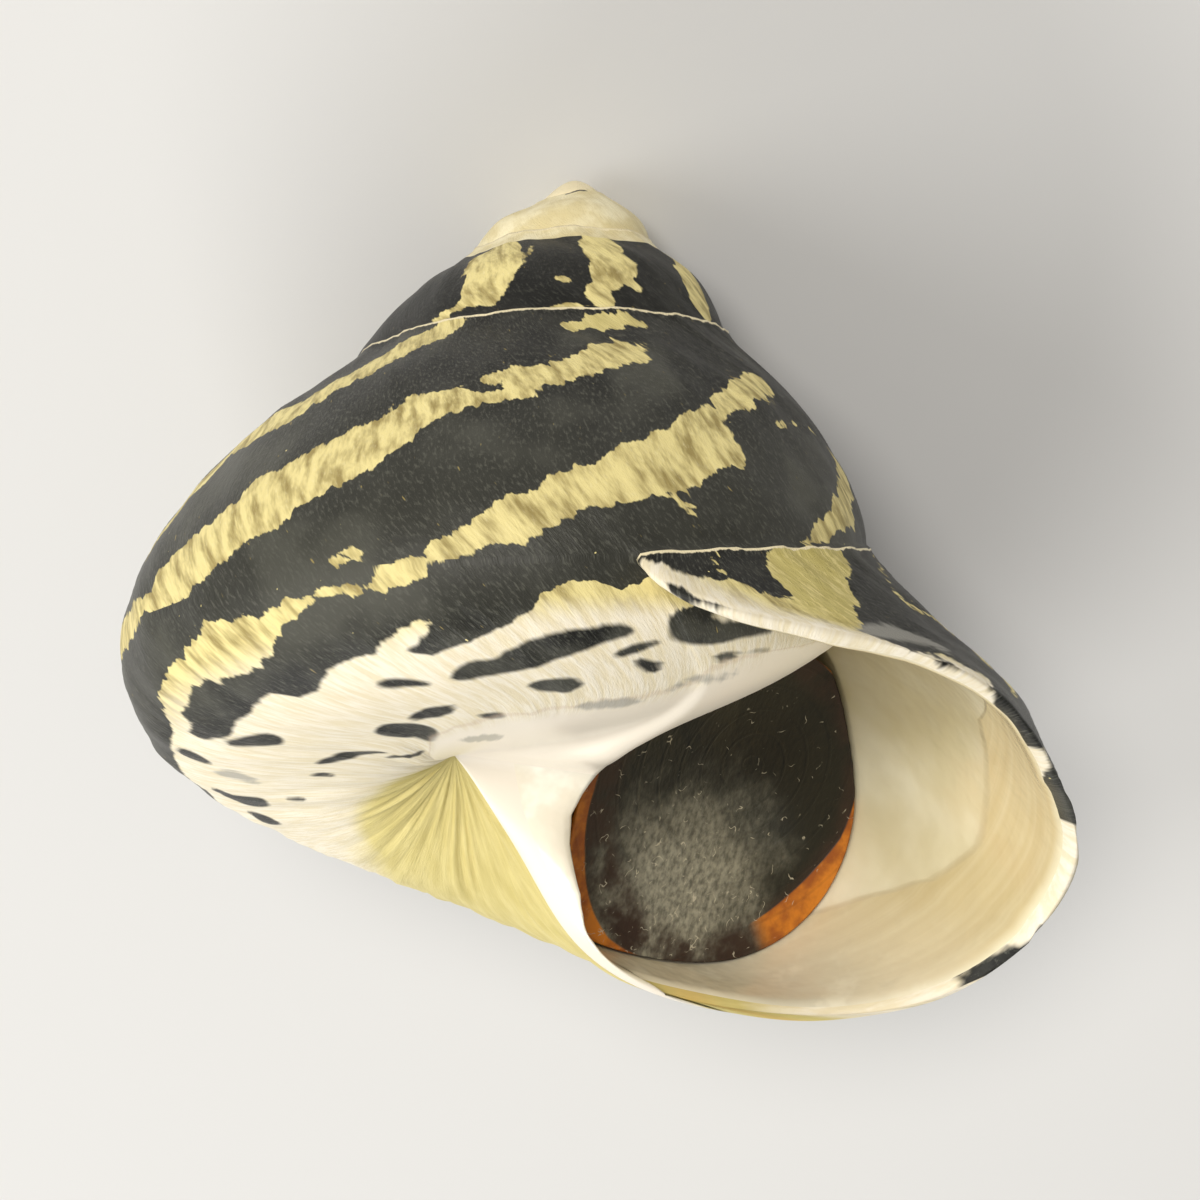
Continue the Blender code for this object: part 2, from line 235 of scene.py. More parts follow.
# Markings. Each stroke is a path of (growth line, drop, half its width in mm).
creamBands = {
    "shoulder": [(0.87, 0.02, 1.0), (0.84, 0.08, 1.4), (0.815, 0.13, 1.5), (0.79, 0.2, 1.5),
                 (0.765, 0.27, 1.4), (0.735, 0.34, 1.5), (0.71, 0.4, 1.1), (0.69, 0.45, 1.5),
                 (0.66, 0.49, 1.5), (0.63, 0.53, 1.0), (0.61, 0.62, 0.9), (0.58, 0.72, 0.8),
                 (0.54, 0.82, 0.8)],
    "upper": [(0.937, 0.265, 0.4), (0.92, 0.28, 1.4), (0.89, 0.34, 1.4), (0.84, 0.44, 1.0),
              (0.805, 0.49, 1.5), (0.785, 0.52, 1.2), (0.75, 0.57, 1.35), (0.72, 0.64, 1.8),
              (0.685, 0.73, 2.1), (0.66, 0.77, 1.8), (0.64, 0.81, 2.3), (0.615, 0.86, 1.9),
              (0.595, 0.9, 1.9), (0.575, 0.93, 1.8), (0.555, 0.95, 1.6), (0.545, 0.965, 0.9),
              (0.53, 0.98, 0.8), (0.5, 0.99, 1.1), (0.465, 0.99, 1.4)],
    "lower": [(0.99, 0.39, 0.4), (0.97, 0.43, 1.2), (0.945, 0.47, 1.0), (0.92, 0.52, 1.1), (0.9, 0.56, 0.8),
              (0.875, 0.62, 1.0), (0.85, 0.69, 1.8), (0.825, 0.76, 2.1), (0.8, 0.8, 1.95),
              (0.77, 0.84, 1.6), (0.75, 0.87, 1.3), (0.72, 0.92, 1.3), (0.7, 0.95, 0.9), (0.67, 1.0, 0.55),
              (0.65, 1.05, 0.55), (0.64, 1.06, 0.3), (0.625, 1.055, 0.28), (0.605, 1.09, 0.35)],
    "lowerFinger": [(0.965, 0.46, 0.6), (0.955, 0.51, 0.35), (0.943, 0.555, 0.15)],
    "toothOne": [(0.855, 0.69, 1.0), (0.846, 0.75, 0.8), (0.841, 0.79, 0.3)],
    "toothTwo": [(0.835, 0.75, 1.0), (0.827, 0.79, 0.7), (0.821, 0.825, 0.3)],
    "cheek": [(0.605, 1.1, 0.3), (0.59, 1.13, 1.0), (0.577, 1.15, 1.4), (0.565, 1.16, 1.9),
              (0.547, 1.165, 1.8), (0.53, 1.18, 1.3), (0.515, 1.19, 1.3), (0.5, 1.2, 1.0),
              (0.485, 1.23, 1.0), (0.47, 1.25, 0.75), (0.455, 1.27, 0.6), (0.43, 1.29, 0.4),
              (0.41, 1.32, 0.4), (0.39, 1.36, 0.35), (0.35, 1.4, 0.35)],
    "rightSide": [(0.985, 0.66, 0.3), (0.965, 0.74, 0.8), (0.945, 0.8, 1.2), (0.92, 0.85, 1.2),
                  (0.9, 0.9, 1.2), (0.875, 0.93, 0.9), (0.855, 0.965, 0.4), (0.835, 0.99, 0.6)],
    "fleck": [(0.633, 0.99, 0.15), (0.64, 0.985, 0.3), (0.648, 0.97, 0.25)],
    "scratch": [(0.787, 0.885, 0.12), (0.785, 0.918, 0.2), (0.782, 0.949, 0.12), (0.783, 0.978, 0.08)],
    "scratchTwo": [(0.795, 0.873, 0.12), (0.794, 0.897, 0.2), (0.788, 0.918, 0.1)],
    "thinLine": [(0.916, 0.636, 0.06), (0.944, 0.608, 0.12), (0.96, 0.615, 0.1), (0.96, 0.652, 0.05)],
    "tooth": [(0.65, 1.21, 0.3), (0.642, 1.235, 0.5), (0.634, 1.26, 0.7), (0.624, 1.29, 0.7)],
    "spireLeft": [(1.8, 0.22, 0.9), (1.785, 0.3, 1.5), (1.755, 0.42, 2.0), (1.73, 0.57, 1.9),
                  (1.7, 0.7, 1.6), (1.675, 0.82, 1.4), (1.655, 0.88, 0.7), (1.63, 0.94, 0.5),
                  (1.615, 0.97, 0.4)],
    "spireMiddle": [(1.96, 0.1, 0.6), (1.945, 0.16, 0.85), (1.9, 0.33, 1.4), (1.865, 0.47, 1.3),
                    (1.85, 0.57, 1.5), (1.81, 0.71, 1.3), (1.785, 0.79, 0.7), (1.76, 0.89, 0.8),
                    (1.75, 0.96, 0.6)],
    "spireFinger": [(1.85, 0.6, 0.4), (1.88, 0.56, 0.15)],
    "spireFingerTwo": [(1.815, 0.73, 0.5), (1.817, 0.78, 0.4), (1.815, 0.82, 0.3)],
    "spireRight": [(2.12, 0.09, 0.2), (2.07, 0.23, 0.4), (2.01, 0.43, 0.9), (1.95, 0.63, 1.3),
                   (1.905, 0.8, 1.3), (1.885, 0.9, 1.0)],
    "spireFleck": [(1.752, 0.75, 0.18), (1.758, 0.77, 0.32)],
    "spireCrack": [(1.824, 0.31, 0.14), (1.784, 0.47, 0.11), (1.74, 0.66, 0.09)],
    "underSuture": [(1.7, 0.985, 0.2), (1.713, 0.985, 0.35), (1.727, 0.99, 0.38), (1.737, 0.985, 0.15)],
    "oliveNotch": [(0.928, 0.12, 0.2), (0.948, 0.09, 0.7), (0.967, 0.07, 0.9), (0.985, 0.06, 0.9),
                   (0.997, 0.08, 0.4)],
    "lipOlive": [(0.094, -0.01, 2.6), (0.07, 0.03, 2.8), (0.05, 0.08, 2.8), (0.035, 0.12, 2.5),
                 (0.022, 0.16, 1.8)],
    "lipWhite": [(-0.01, 0.02, 0.6), (-0.006, 0.07, 1.1), (-0.002, 0.12, 1.6), (0.002, 0.17, 1.8),
                 (0.003, 0.21, 1.5), (0.0, 0.25, 0.9), (-0.002, 0.3, 0.7), (0.004, 0.36, 0.9),
                 (0.006, 0.4, 1.0), (0.0, 0.435, 0.5)],
    "lipTick": [(0.028, 0.005, 0.35), (0.021, 0.03, 0.22), (0.013, 0.05, 0.12)],
    "lipShoulder": [(0.17, 0.02, 0.4), (0.12, 0.07, 0.35), (0.1, 0.14, 0.3), (0.1, 0.22, 0.5),
                    (0.09, 0.28, 0.7), (0.065, 0.35, 1.0), (0.045, 0.41, 1.0), (0.03, 0.445, 0.5)],
    "lipNotch": [(-0.004, 0.58, 0.3), (-0.002, 0.61, 0.6), (-0.004, 0.65, 0.4)],
    "lipSide": [(0.0, 0.79, 0.7), (0.0, 0.85, 1.3), (0.0, 0.91, 1.2), (0.0, 0.97, 0.9)],
    "lipUnder": [(0.0, 1.12, 0.4), (-0.002, 1.155, 1.0), (-0.002, 1.18, 0.8)],
}
blackStrokes = {
    "island": [(0.785, 0.497, 0.2), (0.79, 0.5, 0.45), (0.797, 0.51, 0.2)],
    "longStreak": [(0.634, 1.45, 0.3), (0.644, 1.44, 0.75), (0.656, 1.455, 0.8), (0.672, 1.43, 1.1),
                   (0.688, 1.4, 1.0), (0.7, 1.38, 0.9), (0.713, 1.36, 0.65), (0.724, 1.35, 0.4)],
    "roundSpot": [(0.66, 1.575, 0.5), (0.668, 1.58, 0.85), (0.675, 1.585, 0.8), (0.681, 1.59, 0.3)],
    "upperDash": [(0.712, 1.49, 0.3), (0.722, 1.46, 0.45), (0.734, 1.43, 0.2)],
    "upperDot": [(0.719, 1.555, 0.3), (0.726, 1.57, 0.6)],
    "highDot": [(0.764, 1.54, 0.4), (0.77, 1.54, 0.6), (0.778, 1.52, 0.3)],
    "highDotTwo": [(0.79, 1.48, 0.35), (0.799, 1.48, 0.3)],
    "dash": [(0.599, 1.4, 0.25), (0.606, 1.42, 0.45), (0.617, 1.45, 0.25)],
    "slanted": [(0.575, 1.58, 0.4), (0.591, 1.58, 0.8), (0.605, 1.58, 0.3)],
    "blob": [(0.541, 1.59, 0.5), (0.548, 1.6, 1.3), (0.557, 1.63, 1.1), (0.553, 1.69, 0.3)],
    "dot": [(0.612, 1.63, 0.25), (0.619, 1.64, 0.5), (0.624, 1.65, 0.2)],
    "lowDash": [(0.46, 1.56, 0.3), (0.474, 1.59, 0.55), (0.49, 1.63, 0.4), (0.499, 1.66, 0.25)],
    "lowDashTwo": [(0.49, 1.7, 0.25), (0.504, 1.72, 0.45), (0.523, 1.75, 0.3)],
    "lowDot": [(0.429, 1.57, 0.2), (0.432, 1.59, 0.4), (0.43, 1.61, 0.25)],
    "leftDash": [(0.478, 1.36, 0.4), (0.487, 1.39, 0.75), (0.497, 1.42, 0.8)],
    "leftSpot": [(0.437, 1.29, 0.4), (0.441, 1.31, 1.0), (0.438, 1.33, 0.7)],
    "underSpot": [(0.385, 1.37, 0.7), (0.374, 1.4, 1.0), (0.37, 1.44, 1.2), (0.376, 1.47, 0.5)],
    "underSpotTwo": [(0.344, 1.41, 0.4), (0.337, 1.44, 1.0), (0.334, 1.47, 0.4)],
    "smallDot": [(0.38, 1.54, 0.25), (0.38, 1.57, 0.3)],
    "lobes": [(0.575, 1.24, 0.8), (0.56, 1.26, 0.9), (0.54, 1.27, 1.15), (0.52, 1.27, 1.7),
              (0.508, 1.265, 1.1), (0.496, 1.25, 0.5)],
    "lobesLow": [(0.51, 1.3, 0.9), (0.494, 1.31, 1.0), (0.475, 1.295, 0.6)],
    "underLip": [(0.768, 1.15, 0.4), (0.762, 1.25, 1.0), (0.754, 1.32, 1.3), (0.765, 1.37, 1.0),
                 (0.785, 1.34, 0.7), (0.8, 1.33, 0.4)],
    "lipLow": [(0.0, 1.02, 0.7), (0.002, 1.06, 0.9), (0.0, 1.09, 0.5)],
    "lipDash": [(-0.002, 1.205, 0.25), (-0.002, 1.225, 0.25)],
    "apexDash": [(2.891, 0.04, 0.08), (2.93, 0.035, 0.16), (2.97, 0.06, 0.08)],
}
# Softer smudges, grey under a thin glaze, in the same way.
greySmudges = {
    "glazed": [(0.679, 1.65, 0.3), (0.694, 1.65, 0.6), (0.715, 1.65, 0.4)],
    "glazedTwo": [(0.738, 1.62, 0.3), (0.75, 1.6, 0.35), (0.771, 1.59, 0.5), (0.779, 1.58, 0.2)],
    "smudge": [(0.589, 1.74, 0.5), (0.614, 1.75, 0.8)],
    "spotGrey": [(0.419, 1.38, 0.5), (0.421, 1.41, 0.9), (0.411, 1.45, 0.4)],
    "lipGrey": [(0.012, 0.225, 0.5), (0.028, 0.235, 0.9), (0.03, 0.27, 0.9), (0.024, 0.3, 0.8)],
}
blackEdge = [(-0.1, 1.0), (0.0, 1.0), (0.03, 1.1), (0.12, 1.24), (0.22, 1.3), (0.3, 1.27), (0.36, 1.3),
             (0.42, 1.26), (0.463, 1.25), (0.49, 1.21), (0.53, 1.2), (0.55, 1.25), (0.556, 1.35),
             (0.572, 1.35), (0.589, 1.305), (0.601, 1.29), (0.61, 1.287), (0.63, 1.3), (0.637, 1.335),
             (0.656, 1.315), (0.666, 1.295), (0.676, 1.275), (0.688, 1.23), (0.703, 1.15), (0.714, 1.11),
             (0.724, 1.09), (0.732, 1.14), (0.744, 1.107), (0.763, 1.05), (0.8, 1.1), (2.0, 1.1)]
callusEdge = [(0.5, 2.1), (0.53, 1.8), (0.553, 1.69), (0.59, 1.655), (0.68, 1.65), (0.717, 1.64),
              (0.75, 1.615), (0.8, 1.55), (0.9, 1.3), (1.0, 1.0), (2.0, 0.9)]
# The olive of the umbilical area reaches back to this growth line at each drop.
oliveEdge = [(1.3, 0.1), (1.4, 0.2), (1.5, 0.24), (1.65, 0.28), (1.72, 0.35), (1.83, 0.42), (1.93, 0.46),
             (2.0, 0.5)]
# Growth lines show a finer slant than the grid's rows: mm towards the lip for each mm down, at each drop.
slant = [(0.0, 0.7), (0.45, 0.7), (0.7, 0.72), (0.85, 0.35), (0.95, 0.15), (1.1, 0.1), (1.4, 0.0),
         (2.0, 0.0)]


def smoothStep(low, high, value):
    # from 0 at low to 1 at high: three times the square less twice the cube of the share of the way
    x = np.clip((value - low) / (high - low), 0, 1)
    return x * x * (3 - 2 * x)


def smoothPath(points, perStep=14):
    # a cubic curve through the points, its tangent at each half the way from the point before to the next
    p = np.array(points, float)
    p = np.concatenate([[2 * p[0] - p[1]], p, [2 * p[-1] - p[-2]]])
    s = np.linspace(0, 1, perStep, endpoint=False)[None, :, None]
    a, b, c, d = p[:-3, None], p[1:-2, None], p[2:-1, None], p[3:, None]
    curve = b + 0.5 * s * (c - a + s * (2 * a - 5 * b + 4 * c - d + s * (3 * (b - c) + d - a)))
    return np.concatenate([curve.reshape(-1, p.shape[1]), p[-2:-1]])


def insideStroke(points, t, path, nearTurns=0.2):
    # mm inside a stroke, negative outside it, at surface points on growth lines t
    curve = smoothPath(path)
    places = onSurface(curve[:, 0], curve[:, 1])
    near = (t > curve[:, 0].min() - nearTurns) & (t < curve[:, 0].max() + nearTurns)
    near &= ((points > places.min(0) - fieldReach) & (points < places.max(0) + fieldReach)).all(-1)
    inside = np.full(t.shape, -fieldReach)
    away = np.linalg.norm(points[near][:, None] - places[None], axis=-1)
    inside[near] = np.maximum((curve[None, :, 2] - away).max(1), -fieldReach)
    return inside


# Bands where the photo shows none. Each stretch is its first and last growth line, the turns over which a
# band slants down the whorl, and by how many turns the stretch is longer at the suture.
unseen = {
    "stretches": ((0.2, 0.42, 0.5, 0.32), (1.12, 1.56, 0.42, 0), (2.22, 2.4, 0.22, 0)),
    "everyTurns": 0.12,
    "halfMm": (1.0, 2.1),
    "decay": 0.4,  # they narrow by e to the minus this for each turn back
    "wander": 0.012,
    "drops": (0.02, 0.25, 0.45, 0.65, 0.85, 1.1),
}


def genericBands(rng):
    # strokes as far apart and as slanted as those that the photo shows, of random widths
    bands, drops, wander = [], unseen["drops"], unseen["wander"]
    for start, end, slanting, higher in unseen["stretches"]:
        for t in np.arange(start, end + slanting + higher, unseen["everyTurns"]):
            wide = rng.uniform(*unseen["halfMm"], len(drops)) * np.exp(-unseen["decay"] * t)
            bands.append([(t - slanting * s + rng.uniform(-wander, wander), s, w) for s, w in zip(drops, wide)
                          if start < t - slanting * s < end + higher * (1 - s)])
    return [band for band in bands if len(band) > 1]


rng = np.random.default_rng(11)
generic = genericBands(rng)


def markings(points, t, drop):
    # mm inside the black, negative on cream: black above the edge of the black, then each stroke in turn
    edge = np.interp(t, *np.array(blackEdge).T)
    dark = np.clip((edge - drop) * mmADrop, -fieldReach, fieldReach)
    for path in generic + list(creamBands.values()):
        dark = np.minimum(dark, -insideStroke(points, t, path))
    for path in blackStrokes.values():
        dark = np.maximum(dark, insideStroke(points, t, path))
    return dark


def strokeField(points, t, strokes):
    # mm inside the nearest of these strokes
    inside = np.full(t.shape, -fieldReach)
    for path in strokes:
        inside = np.maximum(inside, insideStroke(points, t, path))
    return inside


# The shell's skin, as grids that share their border points. Each point has these fields after its place on
# the UV map: mm inside the black, how much its edge frays, the shares of white, olive and worn chalk, mm
# inside the callus, turns back from the lip, mm inside a grey smudge and mm past the nacre's edge.
fieldNames = ("dark", "fray", "white", "olive", "worn", "callus", "depth", "grey", "ledge")
column = {name: number for number, name in enumerate(("along", "down") + fieldNames)}
# Lengths along the spiral are taken four fifths of the way down the whorl.
along = np.linspace(-0.3, growth["whorls"] + 1.5, 2400)
arcPoints = sideRow(along[:, None], np.full((1, 1), 0.8))[:, 0]
arcLength = np.concatenate([[0], np.cumsum(np.linalg.norm(np.diff(arcPoints, axis=0), axis=1))])


def rowLengths(points):
    # mm from a row's first point to each of its points, as the sum of its steps
    steps = np.linalg.norm(np.diff(points, axis=1), axis=-1)
    return np.concatenate([np.zeros((len(points), 1)), np.cumsum(steps, axis=1)], axis=1)


def slanted(drop, down):
    # mm by which the growth lines' slant has run towards the lip at each point of a row
    drop = np.broadcast_to(drop, down.shape)
    slope = np.interp((drop[:, 1:] + drop[:, :-1]) / 2, *np.array(slant).T)
    shifts = np.cumsum(slope * np.diff(down, axis=1), axis=1)
    return np.concatenate([np.zeros((len(down), 1)), shifts], axis=1)


# Where the fields of the outer skin set in, as the ends of a smooth step: by drop, or by growth line.
zones = {
    "calmBase": (1.15, 1.4),  # the black's edge frays above these drops and hardly below them
    "calmSpire": (1.5, 1.9),  # and half as much behind these growth lines
    "leastFray": 0.15,
    "whiteBase": (1.14, 1.3),
    "whiteRim": (0.004, 0.018),
    "oliveBack": (-0.05, 0.03),  # turns from the olive's edge
    "oliveBase": (1.25, 1.45),
    "orange": (1.55, 1.35),
    "oliveStroke": (-1.0, 0.6),  # mm inside the stroke
    "oliveAtRim": (0.004, 0.03),
    "oliveStrokeShare": 0.8,
    "wornApex": (2.35, 2.55),
    "wornShoulder": (0.2, 0.1),
    "wornSpire": (1.68, 1.8),
    "wornSpireEnd": 2.3,
}


def outerFields(points, t, drop, down, run, callusOn):
    # for each grid point: mm along the spiral and down the growth line, then the fields of fieldNames
    t, drop = np.broadcast_arrays(t, drop)
    flat = (points.reshape(-1, 3), t.ravel())
    dark = markings(*flat, drop.ravel()).reshape(t.shape)
    grey = strokeField(*flat, greySmudges.values()).reshape(t.shape)
    yellow = strokeField(*flat, [creamBands["lipOlive"], creamBands["oliveNotch"]]).reshape(t.shape)
    chalkHole = strokeField(*flat, [blackStrokes["apexDash"]]).reshape(t.shape)
    fray = zones["leastFray"] + (1 - zones["leastFray"]) * (1 - smoothStep(*zones["calmBase"], drop))
    fray = fray * (1 - 0.5 * smoothStep(*zones["calmSpire"], t))
    white = np.maximum(smoothStep(*zones["whiteBase"], drop), 1 - smoothStep(*zones["whiteRim"], t))
    reach = np.interp(drop, *np.array(oliveEdge).T)
    ahead, behind = zones["oliveBack"]
    olive = (1 - smoothStep(reach + ahead, reach + behind, t)) * smoothStep(*zones["oliveBase"], drop)
    olive = olive * (1 + smoothStep(*zones["orange"], drop))
    stroked = smoothStep(*zones["oliveStroke"], yellow) * smoothStep(*zones["oliveAtRim"], t)
    olive = np.maximum(olive, zones["oliveStrokeShare"] * stroked)
    wornSpire = smoothStep(*zones["wornSpire"], t) * (t < zones["wornSpireEnd"])
    worn = smoothStep(*zones["wornApex"], t) + smoothStep(*zones["wornShoulder"], drop) * wornSpire
    worn = worn * (chalkHole < 0)
    intoCallus = (drop - np.interp(t, *np.array(callusEdge).T)) * mmADrop
    callus = np.where(callusOn, intoCallus, 0 * t - fieldReach)
    u = np.interp(t, along, arcLength) + run
    return np.stack([u, down, dark, fray, white, olive, worn, callus, t, grey, 0 * t + fieldReach], -1)


# How far in from the lip the nacre's inner edge lies, in turns, at each drop.
arcDepth = [(0.0, 0.01), (0.25, 0.02), (0.38, 0.06), (0.5, 0.08), (0.62, 0.066), (0.75, 0.055), (0.88, 0.046),
            (0.97, 0.052), (1.02, 0.068), (1.1, 0.08), (1.3, 0.1), (1.5, 0.1), (2.0, 0.1)]


# Where the mouth turns from tan to white porcelain, in two shares, and where painted shade sets in: ends of a
# smooth step, by drop and by turns from the lip.
insideZones = {"white": (0.95, 1.25), "whiter": (1.5, 1.75), "firstShare": 0.75,
               "shade": (0.85, 0.5), "shadeTurns": (0.03, 0.13)}


def innerFields(t, drop, down):
    # the same fields inside the mouth, where white is the share of porcelain and olive that of painted shade
    t, drop = np.broadcast_arrays(t, drop)
    u = np.interp(t, along, arcLength)
    flat = 0 * t
    none = flat - fieldReach
    ledge = (t - np.interp(drop, *np.array(arcDepth).T)) * mmATurn
    first, second = smoothStep(*insideZones["white"], drop), smoothStep(*insideZones["whiter"], drop)
    porcelain = insideZones["firstShare"] * first + (1 - insideZones["firstShare"]) * second
    shade = smoothStep(*insideZones["shade"], drop) * smoothStep(*insideZones["shadeTurns"], t)
    return np.stack([u, down, none, flat, porcelain, shade, flat, flat + fieldReach, t, none, ledge], -1)


rows = round(growth["whorls"] * grid["rowsATurn"])
# A row's edge is the suture of the row this many rows nearer the lip.
below = grid["rowsATurn"] - round(lines["lead"] * grid["rowsATurn"])
t = np.arange(rows + 1)[:, None] / grid["rowsATurn"]
sideShare = np.linspace(0, 1, grid["sideColumns"] + 1)[None, :]
baseShare = np.linspace(0, 1, grid["baseColumns"] + 1)[None, :]
side = sideRow(t, sideShare)
atLip = np.array([0.0])
lipMiddle = inSpace(atLip, *centre(atLip))[0]
baseT = t[: below + 1]
under = outerBase(baseT, baseShare)

# The lip's edge runs a little ahead of the growth line below the suture and flares farther down:
# mm ahead and mm outwards at each drop, fading with the turns back from the lip.
lipShape = {"ahead": [(0.0, 0.0), (0.04, 1.6), (0.1, 3.2), (0.15, 3.0), (0.2, 1.2), (0.25, 0.0), (1.0, 0.0)],
            "out": [(0.0, 0.0), (0.22, 0.0), (0.3, 0.5), (0.4, 0.6), (0.48, 0.3), (0.55, -0.2), (0.65, -0.6),
                    (0.75, -0.3), (0.85, 0.1), (1.0, 0.0)],
            "fadeTurns": 0.025, "flareTurns": 0.06}
forwards = side[0] - side[2]
forwards /= np.linalg.norm(forwards, axis=1, keepdims=True)
outwardsAtLip = np.cross(forwards, np.gradient(side[0], axis=0))
outwardsAtLip /= np.linalg.norm(outwardsAtLip, axis=1, keepdims=True)
outwardsAtLip *= np.sign((outwardsAtLip * (side[0] - lipMiddle)).sum(1).mean())


def lipMove(at):
    # the lip's move at these turns from its edge, for each side column
    ahead = np.interp(sideShare[0], *np.array(lipShape["ahead"]).T)[None, :, None] * forwards
    out = np.interp(sideShare[0], *np.array(lipShape["out"]).T)[None, :, None] * outwardsAtLip
    at = at[:, :, None]
    return ahead * np.exp(-at / lipShape["fadeTurns"]) + out * np.exp(-at / lipShape["flareTurns"])


side = side + lipMove(t)
sideDown = rowLengths(side)
underDown = sideDown[: below + 1, -1:] + rowLengths(under)
sideRun = slanted(sideShare, sideDown)
underRun = sideRun[: below + 1, -1:] + slanted(1 + baseShare, underDown)
sideFields = outerFields(side, t, sideShare, sideDown, sideRun, False)
underFields = outerFields(under, baseT, 1 + baseShare, underDown, underRun, True)
print("outer surface laid out")

# The rim turns from the outer surface into the hollow along a quarter of an ellipse.
bend = np.linspace(0, np.pi / 2, grid["rimRows"] + 1)[1:]
rimDepth = hollow["lipBandTurns"] * (1 - np.cos(bend))
inDepth = np.linspace(0, 1, grid["hollowRows"] + 1)[1:] ** hollow["crowding"] * hollow["turns"]
inDepth = inDepth + hollow["lipBandTurns"]
depth = np.concatenate([rimDepth, inDepth])[:, None]


def thickness(at):
    # mm of wall and of callus at this depth in turns: they near their full values by e to the minus turns
    inwards = 1 - np.exp(-at / hollow["wallTurns"])
    return hollow["lipWall"] + (hollow["innerWall"] - hollow["lipWall"]) * inwards, hollow["callus"] * inwards


wallAtBand, callusAtBand = thickness(hollow["lipBandTurns"])
wallIn, callusIn = thickness(inDepth)
wall = np.concatenate([wallAtBand * np.sin(bend), wallIn])[:, None]
callusDepth = np.concatenate([callusAtBand * np.sin(bend), callusIn])[:, None]
ringSide, ringFloor, ringBack = hollowRings(depth, wall, callusDepth)
ringSide = ringSide + lipMove(depth)
# The columella curves round the lid: mm by which it stands nearer the mouth's middle, at each drop.
collar = {
    "mm": [(1.6, 0.0), (1.68, 0.6), (1.75, 0.8), (1.81, 0.3), (1.86, -0.6), (1.91, -1.5), (1.95, -1.7),
           (1.98, -0.9), (2.0, 0.0)],
    "fadeTurns": 0.12,
    "rounded": (1.5, 1.62),  # drops from which the rim rows are rounded over
    "toPit": (2.0, 1.88),
    "tangentRows": 4,
    "floorPull": (0.15, 0.3),
    "backPull": (0.45, 0.45),
}
mouthMiddle = (ringSide[len(bend)].mean(axis=0) + ringFloor[len(bend)].mean(axis=0)) / 2
towards = mouthMiddle - ringFloor
towards /= np.linalg.norm(towards, axis=-1, keepdims=True)
grow = np.concatenate([np.sin(bend), np.exp(-inDepth / collar["fadeTurns"])])[:, None]
nearer = grow * np.interp(1 + baseShare, *np.array(collar["mm"]).T)
ringFloor = ringFloor + towards * nearer[..., None]


def roundOver(ring, outside, pull):
    # by the columella the rim rows lie on a cubic curve from the outer surface's last row to the wall:
    # it leaves along the outer surface and arrives along the wall, each tangent pull times the gap long
    last, following = ring[len(bend)], ring[len(bend) + 1]
    first = outside[0]
    leaving, arriving = first - outside[-1], following - last
    leaving = leaving / np.maximum(np.linalg.norm(leaving, axis=-1, keepdims=True), 1e-6)
    arriving = arriving / np.maximum(np.linalg.norm(arriving, axis=-1, keepdims=True), 1e-6)
    drop = 1 + baseShare[0][:, None]
    tangent = np.linalg.norm(last - first, axis=-1, keepdims=True) * smoothStep(*collar["toPit"], drop)
    s = (np.arange(1, len(bend) + 1) / (len(bend) + 1))[:, None, None]
    second, third = first + pull[0] * tangent * leaving, last - pull[1] * tangent * arriving
    curve = (1 - s) ** 3 * first + 3 * s * (1 - s) ** 2 * second + 3 * s**2 * (1 - s) * third + s**3 * last
    share = smoothStep(*collar["rounded"], drop)
    return np.concatenate([ring[: len(bend)] * (1 - share) + curve * share, ring[len(bend) :]])


rowsOn = collar["tangentRows"]
ringFloor = roundOver(ringFloor, under[: rowsOn + 1], collar["floorPull"])
ringBack = roundOver(ringBack, under[: -rowsOn - 2 : -1], collar["backPull"])

points, lifts, corners, triangles = [], [], [], []


def add(new, lift=0.0):
    # adds points and gives their numbers in the same layout
    start = sum(len(p) for p in points)
    points.append(np.asarray(new).reshape(-1, 3))
    lifts.append(np.broadcast_to(lift, np.shape(new)[:-1]).ravel())
    return start + np.arange(len(points[-1])).reshape(np.shape(new)[:-1])


def skin(ids, fields, slot):
    # one square for each cell of the grid, with its fields at its corners
    def cell(laid):
        return np.stack([laid[:-1, :-1], laid[:-1, 1:], laid[1:, 1:], laid[1:, :-1]], 2)

    numbers, values = cell(ids).reshape(-1, 4), cell(fields).reshape(-1, 4, fields.shape[-1])
    whole = numbers[:, 1] != numbers[:, 2]
    corners.append((numbers[whole], values[whole], slot))
    if not whole.all():
        keep = [0, 1, 3]
        triangles.append((numbers[~whole][:, keep], values[~whole][:, keep], slot))


def waveSet(rng, count, lengthU, lengthV):
    # random cosine waves: how many a mm along the spiral and down the growth line, and the phase
    return np.stack([rng.uniform(0.6, 1.6, count) / lengthU, rng.uniform(-1.6, 1.6, count) / lengthV,
                     rng.uniform(0, 1, count)], -1)


def waves(fields, waveKind):
    # the sum of a set's cosines, divided by the root of twice their number
    phase = fields[..., 0:1] * waveKind[:, 0] + fields[..., 1:2] * waveKind[:, 1] + waveKind[:, 2]
    return np.cos(turn * phase).sum(-1) / np.sqrt(2 * len(waveKind))


# Fine relief, each wave set with its height in mm.
relief = {
    "lumps": (waveSet(rng, 7, 9.0, 14.0), 0.16),
    "rests": (waveSet(rng, 9, 2.6, 60.0), 0.05),
    "sutureLip": (0.3, 0.5),  # height and width in mm of the thin edge that laps the whorl before
    "wrinkles": (waveSet(rng, 8, 3.4, 90.0), 0.13),
    "bulge": (0.45, 1.3, 2.3),  # mm by which the small whorls swell between sutures, and where it sets in
    "shrink": 0.3 / 220,  # it gets finer by e to the minus this for each mm along the spiral
    "glazeMm": 2,  # how far on both sides of the callus's edge the lumps fade
    "lumpsToPit": (2.0, 1.9),
    "wrinklesToPit": (2.0, 1.85),
    "toRidge": (0.75, 0.68),  # growth lines between which it fades towards the ridge by the mouth
}


